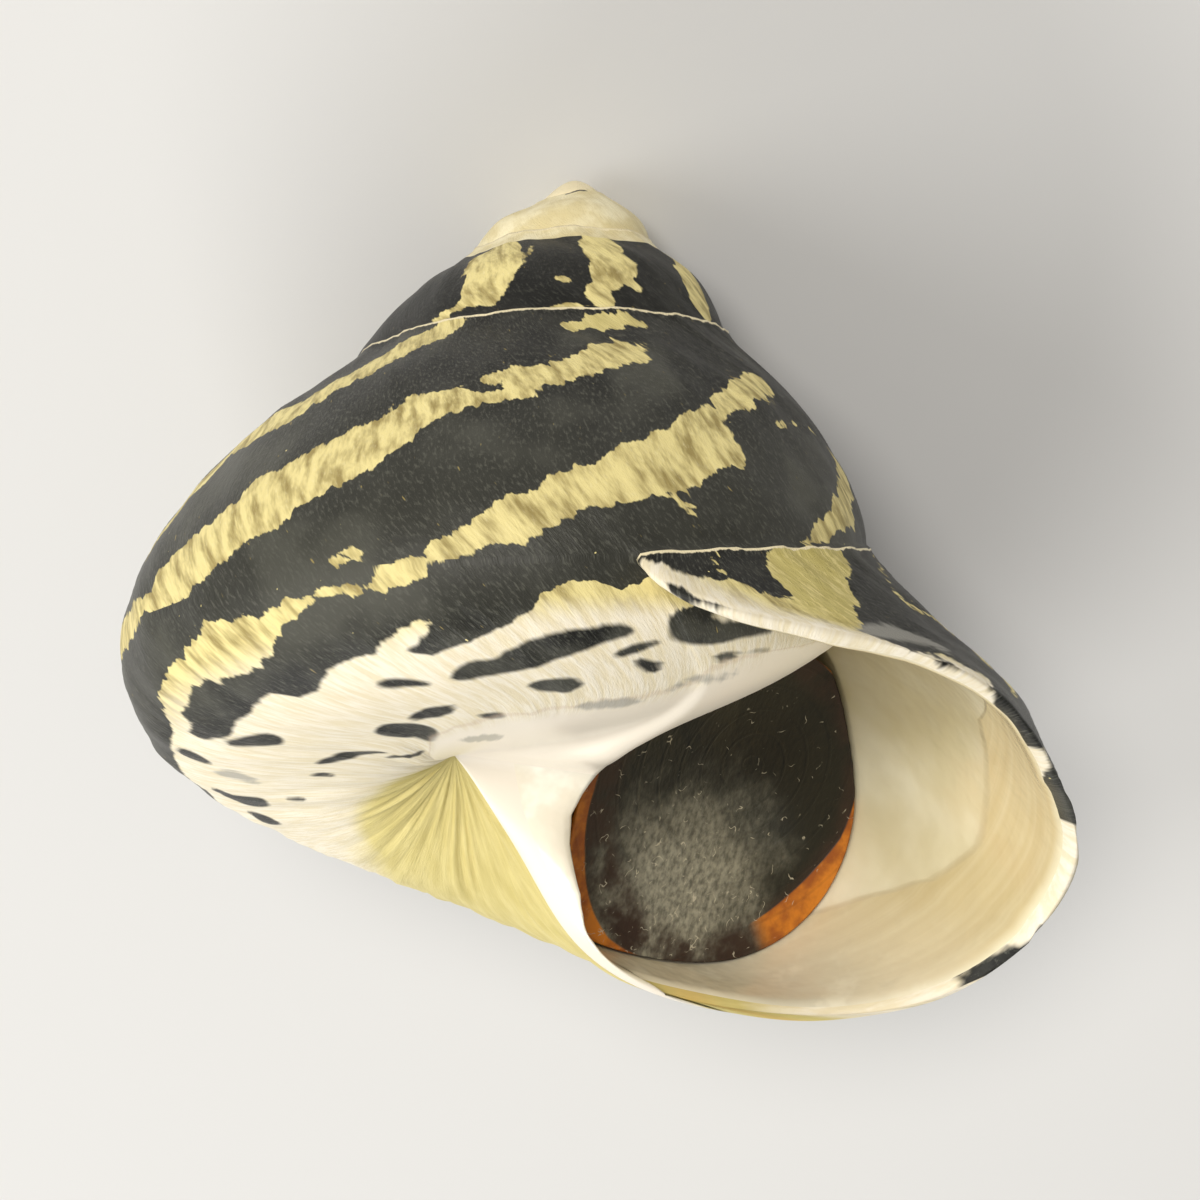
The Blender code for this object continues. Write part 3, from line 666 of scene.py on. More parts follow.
def outerLift(fields, drop):
    # mm outwards: the sum of lumps and rests off the callus, the suture's thin edge, the olive's wrinkles
    # and the bulge
    rise = sum(size * waves(fields, kind) for kind, size in (relief["lumps"], relief["rests"]))
    height, width = relief["sutureLip"]
    lip = np.where(drop < 1, height * np.exp(-fields[..., column["down"]] / width), 0)
    swell, first, last = relief["bulge"]
    bulge = swell * smoothStep(first, last, fields[..., column["depth"]])
    bulge = bulge * np.sin(np.pi * np.clip(drop, 0, 1))
    wrinkles = relief["wrinkles"][1] * waves(fields, relief["wrinkles"][0]) * fields[..., column["olive"]]
    scale = np.exp(-relief["shrink"] * np.maximum(fields[..., column["along"]], 0))
    calm = 1 - smoothStep(-relief["glazeMm"], relief["glazeMm"], fields[..., column["callus"]])
    rise = rise * calm * smoothStep(*relief["lumpsToPit"], drop)
    return (rise + lip + wrinkles * smoothStep(*relief["wrinklesToPit"], drop)) * scale + bulge


sideLift = outerLift(sideFields, sideShare + 0 * t)
underLift = outerLift(underFields, 1 + baseShare + 0 * baseT) * smoothStep(*relief["toRidge"], baseT)
own = add(side[:, :-1], sideLift[:, :-1])
edge = np.concatenate([add(side[:below, -1], sideLift[:below, -1]), own[: rows + 1 - below, 0]])
sideIds = np.concatenate([own, edge[:, None]], axis=1)
pit = add(base["pit"][None])[0]
baseInner = add(under[:, 1:-1], underLift[:, 1:-1])
baseIds = np.concatenate([edge[: below + 1, None], baseInner, np.full((below + 1, 1), pit)], axis=1)
skin(sideIds, sideFields, 0)
skin(baseIds, underFields, 0)

# The dome over the smallest whorl.
dome = {"rings": 10, "riseMm": 0.3}
apexLoop = np.concatenate([own[rows - below :, 0], sideIds[-1, 1:-1]])[::-1]
apexFields = np.concatenate([sideFields[rows - below :, 0], sideFields[-1, 1:-1]])[::-1]
apexPoints = np.concatenate(points)[apexLoop]
tip = apexPoints.mean(axis=0)
tip[2] = apexPoints[:, 2].max() + dome["riseMm"]
inwards = np.linspace(0, 1, dome["rings"] + 1)[1:-1, None, None]
swell = apexPoints[None] + (tip - apexPoints)[None] * inwards
swell[..., 2] = apexPoints[None, :, 2] + (tip - apexPoints)[None, :, 2] * np.sin(inwards[..., 0] * np.pi / 2)
domeIds = np.concatenate([apexLoop[None], add(swell), np.full((1, len(apexLoop)), add(tip[None])[0])])
domeIds = np.concatenate([domeIds, domeIds[:, :1]], axis=1).T
domeFields = np.repeat(np.concatenate([apexFields, apexFields[:1]])[:, None], dome["rings"] + 1, axis=1)
skin(domeIds[::-1], domeFields[::-1], 0)

# The rim and the hollow. The outer skin's lift fades over the rim's rows.
rings = np.concatenate([ringSide[:, :-1], ringFloor[:, :-1], ringBack[:, :0:-1]], axis=1)
lipLift = np.concatenate([sideLift[0, :-1], underLift[0, :-1], underLift[-1, :0:-1]])
ringIds = add(rings, np.clip(1 - np.arange(1, len(rings) + 1) / grid["rimRows"], 0, 1)[:, None] * lipLift)
lip = np.concatenate([sideIds[0, :-1], baseIds[0, :-1], baseIds[-1, :0:-1]])
loops = np.concatenate([lip[None], ringIds])
loops = np.concatenate([loops, loops[:, :1]], axis=1)
depthAll = np.concatenate([[[0.0]], depth])
outerWall = grid["sideColumns"] + grid["baseColumns"]  # the loops' columns up to here lie on the outer wall
ringPoints = np.concatenate(points)[loops]
down = rowLengths(ringPoints)
lineT = np.broadcast_to(depthAll, loops.shape)
ringDrop = np.concatenate([sideShare[0, :-1], 1 + baseShare[0, :-1], 2 - baseShare[0, :-1], [0.0]])
fieldsIn = innerFields(lineT, ringDrop[None], down)
backT = depthAll + 1 - lines["lead"]
backDrop = np.broadcast_to(1 + baseShare[:, ::-1], (len(loops), grid["baseColumns"] + 1))
backDown = underDown[-1, ::-1][None, :] + 0 * backT
backRun = underRun[-1, ::-1][None, :] + 0 * backT
backFields = outerFields(ringPoints[:, outerWall :], backT, backDrop, backDown, backRun, True)
# The outer pattern runs on over the first rows of the rim, whiter, and glazed by the columella.
rimLook = {"fadeMm": 0.12, "white": 0.6}
front = grid["patternRows"] + 1
rimFields = np.concatenate([sideFields[:1, :-1], underFields[:1]], axis=1).repeat(front, axis=0)
rimFields[..., column["along"]] += depthAll[:front] * mmATurn
rimFields[..., column["dark"]] -= np.arange(front)[:, None] * rimLook["fadeMm"]
rimFields[..., column["white"]] = np.maximum(rimFields[..., column["white"]], rimLook["white"])
rimGlaze = fieldReach * (2 * smoothStep(*collar["rounded"], ringDrop[: outerWall + 1])[None] - 1)
rimFields[..., column["callus"]] = np.maximum(rimFields[..., column["callus"]], rimGlaze)
skin(loops[:front][::-1, : outerWall + 1], rimFields[::-1], 0)
skin(loops[front - 1 :][::-1, : outerWall + 1], fieldsIn[front - 1 :][::-1, : outerWall + 1], 1)
skin(loops[::-1, outerWall :], backFields[::-1], 0)
endCentre = add(np.concatenate(points)[ringIds[-1]].mean(axis=0)[None])[0]
endIds = np.stack([np.append(ringIds[-1], ringIds[-1, 0]), np.full(len(ringIds[-1]) + 1, endCentre)], 1)
skin(endIds[::-1], np.repeat(fieldsIn[-1][:, None], 2, axis=1)[::-1], 1)
print("rim and hollow laid out")


def laidFaces():
    # the squares and the triangles laid so far, as numbers of points
    return [np.concatenate([part[0] for part in kind]) for kind in (corners, triangles)]


def makeObject(name, points, faces, materials):
    # a smooth mesh in the scene, its place in its points
    mesh = bpy.data.meshes.new(name)
    mesh.from_pydata(points, [], faces)
    for material in materials:
        mesh.materials.append(material)
    mesh.shade_smooth()
    made = bpy.data.objects.new(name, mesh)
    bpy.context.scene.collection.objects.link(made)
    return made


def faceNormals(points, faces):
    # at each point the sum of its faces' normals: the cross product of a face's two diagonals
    spread = points[faces]
    cross = np.cross(spread[:, 2] - spread[:, 0], spread[:, -1] - spread[:, 1])
    normal = np.zeros_like(points)
    for corner in range(faces.shape[1]):
        np.add.at(normal, faces[:, corner], cross)
    return normal


def setFields(made, names):
    # at the corners of the laid faces: the first two fields are the UV map, in mm, the others attributes
    values = np.concatenate([part[1].reshape(-1, part[1].shape[-1]) for part in corners + triangles])
    mesh = made.data
    uv = mesh.uv_layers.new(name="growth")
    uv.data.foreach_set("uv", np.ascontiguousarray(values[:, :2], np.float32).ravel())
    for number, name in enumerate(names):
        attribute = mesh.attributes.new(name, "FLOAT", "CORNER")
        attribute.data.foreach_set("value", np.ascontiguousarray(values[:, 2 + number], np.float32))


# Materials
def colour(text):
    # sRGB hex to linear
    parts = np.array([int(text[k : k + 2], 16) / 255 for k in (1, 3, 5)])
    return (*np.where(parts <= 0.04045, parts / 12.92, ((parts + 0.055) / 1.055) ** 2.4), 1.0)


def newMaterial(name, settings):
    # a material with these values on its shader's sockets
    material = bpy.data.materials.new(name)
    material.use_nodes = True
    shader = material.node_tree.nodes["Principled BSDF"]
    for socket, value in settings.items():
        shader.inputs[socket].default_value = value
    return material, material.node_tree, shader


# The nodes used, by short names: the shader node, its inputs in the order they are given, its output and its
# settings.
nodeKinds = {
    "mix": ("Mix", (0, 6, 7), 2, {"data_type": "RGBA"}),
    "blend": ("Mix", (0, 2, 3), 0, {"data_type": "FLOAT"}),
    "step": ("MapRange", (0, 1, 2, 3, 4), 0, {"interpolation_type": "SMOOTHSTEP"}),
    "range": ("MapRange", (0, 1, 2, 3, 4), 0, {}),
    "noise": ("TexNoise", ("Vector", "Scale", "Detail", "Roughness"), 0, {}),
    "stretch": ("VectorMath", (0, 1), 0, {"operation": "MULTIPLY"}),
    "distance": ("VectorMath", (0, 1), 1, {"operation": "DISTANCE"}),
    "field": ("Attribute", (), 2, {}),
    "uv": ("UVMap", (), 0, {"uv_map": "growth"}),
    "object": ("TexCoord", (), 3, {}),
    "vOf": ("SeparateXYZ", (0,), 1, {}),
    "vector": ("CombineXYZ", (0, 1, 2), 0, {}),
    "bump": ("Bump", ("Strength", "Distance", "Height"), 0, {}),
}
for operation in ("ADD", "SUBTRACT", "MULTIPLY", "MULTIPLY_ADD", "MINIMUM", "SINE", "COSINE", "ABSOLUTE"):
    nodeKinds[operation] = ("Math", (0, 1, 2), 0, {"operation": operation})


def put(tree, kind, *values, **settings):
    # adds a node and gives its output. Each value is a socket to link or a plain value
    shaderNode, sockets, output, fixed = nodeKinds[kind]
    node = tree.nodes.new("ShaderNode" + shaderNode)
    for key, value in {**fixed, **settings}.items():
        setattr(node, key, value)
    for socket, value in zip(sockets, values):
        if isinstance(value, bpy.types.NodeSocket):
            tree.links.new(value, node.inputs[socket])
        else:
            node.inputs[socket].default_value = value
    return node.outputs[output]


def readings(tree, names, where, kinds, unitMm=1.0):
    # by name: the mesh's fields, and noises of so many waves a mm, each with its detail and roughness
    read = {name: put(tree, "field", attribute_name=name) for name in names}
    for name, (wavesAMm, detail, roughness) in kinds.items():
        stretched = put(tree, "stretch", where, [unitMm * waves for waves in wavesAMm])
        read[name] = put(tree, "noise", stretched, 1.0, detail, roughness)
    return read


def layered(tree, read, tints, ground, *layers):
    # lays each layer's colour over those before it: its strength times a smooth step of its reading between
    # its limits, or times the reading itself where it has none
    if isinstance(ground, str):
        ground = colour(tints[ground])
    for name, limits, strength, tint in layers:
        if limits:
            share = put(tree, "step", read[name], *limits, 0.0, strength)
        else:
            share = put(tree, "MULTIPLY", read[name], strength)
        ground = put(tree, "mix", share, ground, colour(tints[tint]))
    return ground


# Shell lime: the outer layer, chalky aragonite with dark pigment in bands, dull, and glossy under the callus.
# Noises are in waves a mm, along the spiral and down the growth line or in space. A layer is a reading, its
# limits, a strength and a colour.
lime = {
    "surface": {"Metallic": 0.0, "Specular IOR Level": 0.27, "Coat Weight": 0.03, "Coat Roughness": 0.25},
    "roughness": {"cream": 0.55, "black": 0.42, "callus": 0.28},
    "bump": (0.7, 0.00016),
    "colours": {
        "black": "#0d0d09", "charcoal": "#20201b", "grainGreyAndSheen": "#57574e",
        "cream": "#e9da98", "tan": "#9c8b54", "paleCream": "#f2e8bd",
        "white": "#f1e9d6", "warmWhite": "#e6dabb",
        "olive": "#ddcf8c", "oliveDark": "#cfc07a", "lipOlive": "#ada052", "orange": "#cf9a3e",
        "chalk": "#f3e9c4", "chalkTan": "#dccd9c", "callusWhite": "#efe6d6", "callusLine": "#a06a30",
        "smudge": "#a09e96", "sutureCream": "#efe2bd",
    },
    "grown": {
        "combs": ((1.05, 0.2, 1.0), 3.0, 0.6), "broad": ((0.33, 0.22, 1.0), 2.0, 0.55),
        "growthLines": ((2.2, 0.3, 1.0), 4.0, 0.6), "grain": ((5.0, 1.3, 1.0), 4.0, 0.7),
        "scratches": ((3.4, 0.7, 1.0), 1.0, 0.55), "ribs": ((1.15, 0.22, 1.0), 3.0, 0.6),
    },
    "spatial": {
        "mottle": ((0.42, 0.42, 0.42), 4.0, 0.6), "cloudy": ((0.11, 0.11, 0.11), 3.0, 0.55),
        "specks": ((2.4, 2.4, 2.4), 1.0, 0.55),
    },
    # the black's edge: mm by which fine and broad noise shift it, and half its softness in mm, on white too
    "combMm": 1.9, "broadMm": 1.6, "softMm": 0.07, "softOnWhiteMm": 0.16,
    # painted sheen: where the black is painted greyer, low on the body whorl
    "flankSheen": {"downMm": (8.0, 30.0), "turns": (1.2, 0.9)},
    "nearLip": (0.2, 0.12, 0.0, 0.7),  # turns back from the lip, and the shares there
    "lipStreaks": (0.5, 0.62),
    "oliveShades": (0.6, 0.8),  # how much the growth lines and the broad noise shade the olive
    "relief": (0.6, 0.5),  # how much the growth lines and the grain raise the surface
    "worn": (0.45, 0.52), "wornShift": 1.4,
    "greyShift": 1.2,
    "callusShiftMm": 1.5, "callusMm": (-0.8, 1.4), "thinLineMm": ((-0.5, -0.2), (0.2, -0.1)),
    "sutureShiftMm": 0.6,
    "blackBands": ("black", ("mottle", (0.36, 0.68), 1.0, "charcoal"),
                   ("grain", (0.5, 0.66), 0.8, "grainGreyAndSheen"), ("cloudy", (0.5, 0.66), 0.5, "grainGreyAndSheen"),
                   # the flank's grey is painted sheen; the grain and cloudy greys are the shell's own
                   ("flankSheen", None, 0.3, "grainGreyAndSheen"),
                   # painted shade: the black is painted darker on the whorls behind the body whorl
                   ("depth", (1.0, 1.4), 0.6, "black"), ("scratches", (0.74, 0.8), 0.8, "tan"),
                   ("specks", (0.8, 0.84), 1.0, "cream")),
    "creamBands": ("tan", ("ribs", (0.3, 0.62), 1.0, "cream"), ("grain", (0.5, 0.8), 0.35, "paleCream"),
                   ("mottle", (0.58, 0.75), 0.4, "tan")),
    "whiteBase": ("warmWhite", ("growthLines", (0.38, 0.62), 1.0, "white")),
    "oliveBase": ("oliveDark", ("oliveShade", (0.1, 0.5), 1.0, "olive"),
                  ("olive", (1.2, 1.9), 0.55, "orange"), ("nearLip", None, 1.0, "lipOlive"),
                  ("lipStreaks", None, 1.0, "cream")),
    "wornApex": ("chalkTan", ("mottle", (0.35, 0.65), 1.0, "chalk")),
    "overAll": (("thinLine", None, 0.2, "callusLine"), ("glazed", None, 1.0, "callusWhite"),
                ("greyMm", (-0.4, 0.3), 0.75, "smudge"), ("sutureDownMm", (0.28, 0.16), 1.0, "sutureCream")),
}
outer, tree, shader = newMaterial("shellLime", lime["surface"])
tints = lime["colours"]
where = put(tree, "uv")
read = readings(tree, fieldNames[:-1], where, lime["grown"])
read.update(readings(tree, (), put(tree, "object"), lime["spatial"], 1 / mm))
combs = put(tree, "SUBTRACT", read["combs"], 0.5)
broad = put(tree, "SUBTRACT", read["broad"], 0.5)
notWhite = put(tree, "SUBTRACT", 1.0, read["white"])
# The black's edge is shifted along the spiral in comb-like teeth.
broadShift = put(tree, "MULTIPLY", broad, lime["broadMm"])
shift = put(tree, "ADD", put(tree, "MULTIPLY", combs, lime["combMm"]), broadShift)
frayed = put(tree, "MULTIPLY_ADD", shift, read["fray"], read["dark"])
softMm = put(tree, "MULTIPLY_ADD", read["white"], lime["softOnWhiteMm"], lime["softMm"])
inBlack = put(tree, "step", frayed, put(tree, "MULTIPLY", softMm, -1.0), softMm)
# Painted sheen: the black is painted greyer low on the body whorl.
down = put(tree, "vOf", where)
lowDown = put(tree, "step", down, *lime["flankSheen"]["downMm"])
bodyWhorl = put(tree, "step", read["depth"], *lime["flankSheen"]["turns"])
flankSheen = put(tree, "MULTIPLY", lowDown, bodyWhorl, use_clamp=True)
read["flankSheen"] = put(tree, "MULTIPLY", flankSheen, notWhite)
blackColour = layered(tree, read, tints, *lime["blackBands"])
creamColour = layered(tree, read, tints, *lime["creamBands"])
ground = put(tree, "mix", read["white"], creamColour, layered(tree, read, tints, *lime["whiteBase"]))
lineShare, broadShare = lime["oliveShades"]
broadShade = put(tree, "MULTIPLY", broad, broadShare)
read["oliveShade"] = put(tree, "MULTIPLY_ADD", read["growthLines"], lineShare, broadShade)
nearLip = put(tree, "step", read["depth"], *lime["nearLip"])
read["nearLip"] = put(tree, "MULTIPLY", nearLip, notWhite, use_clamp=True)
streaks = put(tree, "step", read["growthLines"], *lime["lipStreaks"])
read["lipStreaks"] = put(tree, "MULTIPLY", read["nearLip"], streaks)
oliveShare = put(tree, "MINIMUM", read["olive"], 1.0)
ground = put(tree, "mix", oliveShare, ground, layered(tree, read, tints, *lime["oliveBase"]))
surface = put(tree, "mix", inBlack, ground, blackColour)
wornShift = put(tree, "MULTIPLY", put(tree, "SUBTRACT", read["cloudy"], 0.5), lime["wornShift"])
wornShare = put(tree, "step", put(tree, "ADD", read["worn"], wornShift), *lime["worn"])
surface = put(tree, "mix", wornShare, surface, layered(tree, read, tints, *lime["wornApex"]))
# Over both lie the callus's glaze with a thin line at its edge, grey smudges and the suture's pale edge.
callusMm = put(tree, "MULTIPLY_ADD", broad, lime["callusShiftMm"], read["callus"])
glazed = put(tree, "step", callusMm, *lime["callusMm"])
lineSides = [put(tree, "step", callusMm, *limits) for limits in lime["thinLineMm"]]
read["glazed"] = glazed
read["thinLine"] = put(tree, "MULTIPLY", *lineSides, use_clamp=True)
read["greyMm"] = put(tree, "MULTIPLY_ADD", combs, lime["greyShift"], read["grey"])
read["sutureDownMm"] = put(tree, "ADD", down, put(tree, "MULTIPLY", combs, lime["sutureShiftMm"]))
surface = layered(tree, read, tints, surface, *lime["overAll"])
tree.links.new(surface, shader.inputs["Base Color"])
rough = put(tree, "blend", inBlack, lime["roughness"]["cream"], lime["roughness"]["black"])
tree.links.new(put(tree, "blend", glazed, rough, lime["roughness"]["callus"]), shader.inputs["Roughness"])
lineShare, grainShare = lime["relief"]
grainHeight = put(tree, "MULTIPLY", read["grain"], grainShare)
height = put(tree, "MULTIPLY_ADD", read["growthLines"], lineShare, grainHeight)
height = put(tree, "MULTIPLY", height, put(tree, "SUBTRACT", 1.0, glazed))
tree.links.new(put(tree, "bump", *lime["bump"], height), shader.inputs["Normal"])

# Nacre: the pearly inner layer, glossy, with a thin film's faint colours. Outside the nacre's edge it is the
# lip's tan porcelain. Here the field white is the share of white porcelain, and olive that of painted shade.
# Deeper in and under the lip the nacre is painted darker, as shade; the porcelain has painted glints.
pearl = {
    "surface": {"Metallic": 0.0, "Roughness": 0.23, "Coat Weight": 0.35, "Coat Roughness": 0.12,
                "Thin Film Thickness": 380.0, "Thin Film IOR": 1.45},
    "bump": (0.5, 0.0006),
    "colours": {"rim": "#ece4c4", "lipTan": "#ccb888", "lipPale": "#dbcca2", "edge": "#c0ab7b",
                "inner": "#dbcfa8", "innerPale": "#ede5c8", "shadedNacre": "#93835a", "porcelain": "#f3ead6",
                "blue": "#d3d3cb", "paintedGlint": "#fffaea"},
    "spatial": {"cloud": ((0.09, 0.09, 0.09), 3.0, 0.55), "shimmer": ((0.35, 0.35, 0.35), 3.0, 0.55),
                "ripple": ((0.2, 0.2, 0.2), 3.0, 0.55)},
    "lipLines": {"lipLines": ((1.1, 1.0, 1.0), 3.0, 0.55)},
    "rimShift": 0.008, "ledgeShiftMm": 0.7,
    "nacreMm": (-0.5, 0.5), "edgeMm": ((-1.6, 0.0), (0.7, 0.0)), "stepMm": (-0.3, 0.3, 0.35, 0.0),
    "lip": ("lipTan", ("lipLines", (0.2, 0.8), 1.0, "lipPale")),
    # painted shade: deeper in, and where the olive field gives shade under the lip, the nacre is painted
    # darker
    "inside": ("inner", ("cloud", (0.35, 0.65), 1.0, "innerPale"), ("depth", (0.12, 0.45), 1.0, "shadedNacre"),
               ("olive", None, 0.6, "shadedNacre")),
    "edges": (("atEdge", None, 0.15, "edge"), ("rimTurns", (0.008, 0.002), 1.0, "rim")),
    # painted highlight: white glints painted on the porcelain where the shimmer noise peaks
    "white": ("porcelain", ("cloud", (0.45, 0.7), 0.5, "blue"), ("shimmer", (0.5, 0.68), 0.8, "paintedGlint")),
}
nacre, tree, shader = newMaterial("nacre", pearl["surface"])
tints = pearl["colours"]
read = readings(tree, ("depth", "ledge", "olive", "white"), put(tree, "object"), pearl["spatial"], 1 / mm)
backMm = put(tree, "MULTIPLY", read["depth"], float(mmATurn))
read.update(readings(tree, (), put(tree, "vector", backMm, 0.0, 0.0), pearl["lipLines"]))
cloudShift = put(tree, "SUBTRACT", read["cloud"], 0.5)
read["rimTurns"] = put(tree, "MULTIPLY_ADD", cloudShift, pearl["rimShift"], read["depth"])
ledgeMm = put(tree, "MULTIPLY_ADD", cloudShift, pearl["ledgeShiftMm"], read["ledge"])
lipZone = layered(tree, read, tints, *pearl["lip"])
innerZone = layered(tree, read, tints, *pearl["inside"])
pearlColour = put(tree, "mix", put(tree, "step", ledgeMm, *pearl["nacreMm"]), lipZone, innerZone)
edgeSides = [put(tree, "step", ledgeMm, *limits) for limits in pearl["edgeMm"]]
read["atEdge"] = put(tree, "MULTIPLY", *edgeSides, use_clamp=True)
pearlColour = layered(tree, read, tints, pearlColour, *pearl["edges"])
pearlColour = put(tree, "mix", read["white"], pearlColour, layered(tree, read, tints, *pearl["white"]))
tree.links.new(pearlColour, shader.inputs["Base Color"])
height = put(tree, "ADD", read["ripple"], put(tree, "step", ledgeMm, *pearl["stepMm"]))
tree.links.new(put(tree, "bump", *pearl["bump"], height), shader.inputs["Normal"])
print("shell materials made")

quads, tris = laidFaces()
skinFaces = quads.tolist() + tris.tolist()
skinPoints = np.concatenate(points)
normal = faceNormals(skinPoints, quads) + faceNormals(skinPoints, tris)
normal /= np.maximum(np.linalg.norm(normal, axis=1, keepdims=True), 1e-9)
skinPoints = toRow(skinPoints + normal * np.concatenate(lifts)[:, None])
skinPoints[:, 2] = np.maximum(skinPoints[:, 2], 0)
shellSkin = makeObject("shellSkin", skinPoints, skinFaces, [outer, nacre])
setFields(shellSkin, fieldNames)
slots = np.concatenate([np.full(len(part[0]), part[2]) for part in corners + triangles])
shellSkin.data.polygons.foreach_set("material_index", slots.astype(np.int32))
shellSkin.data.update()
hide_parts("shell")
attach(shellSkin, "root")
print("shell skin made:", len(quads), "squares")

# The lid: a dished horny disc, thin at its rim, which stops short of the inner wall.
lid = {
    "centre": Vector((10.5, 17.3, -41.2)),
    "azimuth": np.radians(-41),
    "elevation": np.radians(-22),  # azimuth and elevation of the way it faces, in the growth frame
    "radius": 12.9,
    "thickness": 0.9,
    "rimThickness": 0.35,
    "dish": 1.3,
    "gap": 0.2,  # mm between its edge and the wall
    "clearance": 0.4,  # mm over and under the disc at which the wall is kept clear too
    "sides": 240,
    "rings": 90,
    "nucleus": (-1.9, -3.0),  # the coil's centre, mm across and down
    # where the thin margin is wider: angle, half its spread, mm
    "flaps": ((np.radians(150), np.radians(35), 3.2), (np.radians(55), np.radians(30), 1.6)),
    # mm from the centre at which the thick disc ends in the thin margin, by degrees
    "thinFrom": [(0, 11.8), (25, 11.8), (40, 12.2), (60, 12.8), (88, 12.6), (106, 11.4), (126, 11.2),
                 (145, 11.4), (160, 11.8), (174, 12.4), (190, 12.4), (215, 12.6), (270, 13.0), (325, 12.7),
                 (345, 12.2), (360, 11.8)],
    # and at which the brown band begins
    "brownFrom": [(0, 9.6), (10, 9.2), (54, 9.0), (90, 10.5), (180, 11.5), (330, 10.2), (360, 9.8)],
    "darkFlap": ((70, 95), (134, 124)),  # degrees between which the margin is as dark as the disc
}
level = np.cos(lid["elevation"])
outwards = Vector((level * np.cos(lid["azimuth"]), level * np.sin(lid["azimuth"]), np.sin(lid["elevation"])))
across = outwards.cross(Vector((0, 0, 1))).normalized()
downLid = outwards.cross(across)
wallTree = BVHTree.FromPolygons((skinPoints / mm).tolist(), skinFaces)
turnedLie = Matrix(lie.tolist())
shiftMm = Vector(lying["shiftMm"])
# At each angle the lid reaches as far as its own outline or the nearest wall allows.
reaches = []
for sideNumber in range(lid["sides"]):
    angle = turn * sideNumber / lid["sides"]
    ray = turnedLie @ (across * np.cos(angle) + downLid * np.sin(angle))
    levels = (lid["clearance"], -lid["thickness"] / 2, -lid["thickness"] - lid["clearance"])
    lifted = [lid["centre"] + outwards * lift for lift in levels]
    free = [wallTree.ray_cast(turnedLie @ start - shiftMm, ray)[3] - lid["gap"] for start in lifted]
    reach = lid["radius"]
    for flapAt, spread, wider in lid["flaps"]:
        reach += wider * np.exp(-(((angle - flapAt) / spread) ** 2))
    reaches.append(min([reach] + free))
reaches = np.array(reaches)
angle = turn * np.arange(lid["sides"] + 1) / lid["sides"]
share = np.linspace(0, 1, lid["rings"] + 1)
reach = np.append(reaches, reaches[0])
offsets = (np.cos(angle)[:, None] * reach[:, None] * share, np.sin(angle)[:, None] * reach[:, None] * share)
axes = [np.array(v) for v in (across, downLid, outwards)]
flatPlace = np.array(lid["centre"]) + offsets[0][..., None] * axes[0] + offsets[1][..., None] * axes[1]
fromNucleus = (offsets[0] - lid["nucleus"][0], offsets[1] - lid["nucleus"][1])
coilAngle = np.arctan2(fromNucleus[1], fromNucleus[0])
coilReach = np.hypot(*fromNucleus)
dip = lid["dish"] * (1 - share[None] ** 2)
front = flatPlace - dip[..., None] * axes[2]
thick = lid["rimThickness"] + (lid["thickness"] - lid["rimThickness"]) * smoothStep(1.0, 0.85, share)[None]
back = flatPlace - (dip + thick)[..., None] * axes[2]
points, lifts, corners, triangles = [], [], [], []
lidMid = add(front[:1, 0])[0], add(back[:1, 0])[0]
frontIds, backIds = add(front[:-1, 1:]), add(back[:-1, 1:])
degrees = np.degrees(angle)
offReach = np.hypot(*offsets)
margin, brownBand = (offReach - np.interp(degrees, *np.array(lid[edge]).T)[:, None]
                     for edge in ("thinFrom", "brownFrom"))
darkFrom, darkTo = lid["darkFlap"]
flapDark = (smoothStep(*darkFrom, degrees) * smoothStep(*darkTo, degrees))[:, None] + 0 * coilReach
lidNames = ("coil", "coilSin", "coilCos", "margin", "brownBand", "flapDark")
coilTurned = (np.sin(coilAngle), np.cos(coilAngle))
lidFields = np.stack([*offsets, coilReach, *coilTurned, margin, brownBand, flapDark], -1)


def closeRound(ids):
    # the first row once more at the end
    return np.concatenate([ids, ids[:1]])


ids = np.concatenate([closeRound(backIds)[:, ::-1], np.full((lid["sides"] + 1, 1), lidMid[1])], 1)[:, ::-1]
skin(ids[:, 1:], lidFields[:, 1:], 0)
skin(closeRound(frontIds)[:, ::-1], lidFields[:, :0:-1], 0)
rimIds = np.stack([closeRound(backIds)[:, -1], closeRound(frontIds)[:, -1]], 1)
skin(rimIds, lidFields[:, -1:].repeat(2, axis=1), 0)
for ring, middle, flip in ((frontIds[:, 0], lidMid[0], False), (backIds[:, 0], lidMid[1], True)):
    loop = closeRound(ring)
    fan = np.stack([loop[:-1], loop[1:], np.full(lid["sides"], middle)], 1)
    value = np.stack([lidFields[:-1, 1], lidFields[1:, 1], lidFields[:-1, 0]], 1)
    triangles.append((fan[:, ::-1] if not flip else fan, value[:, ::-1] if not flip else value, 0))
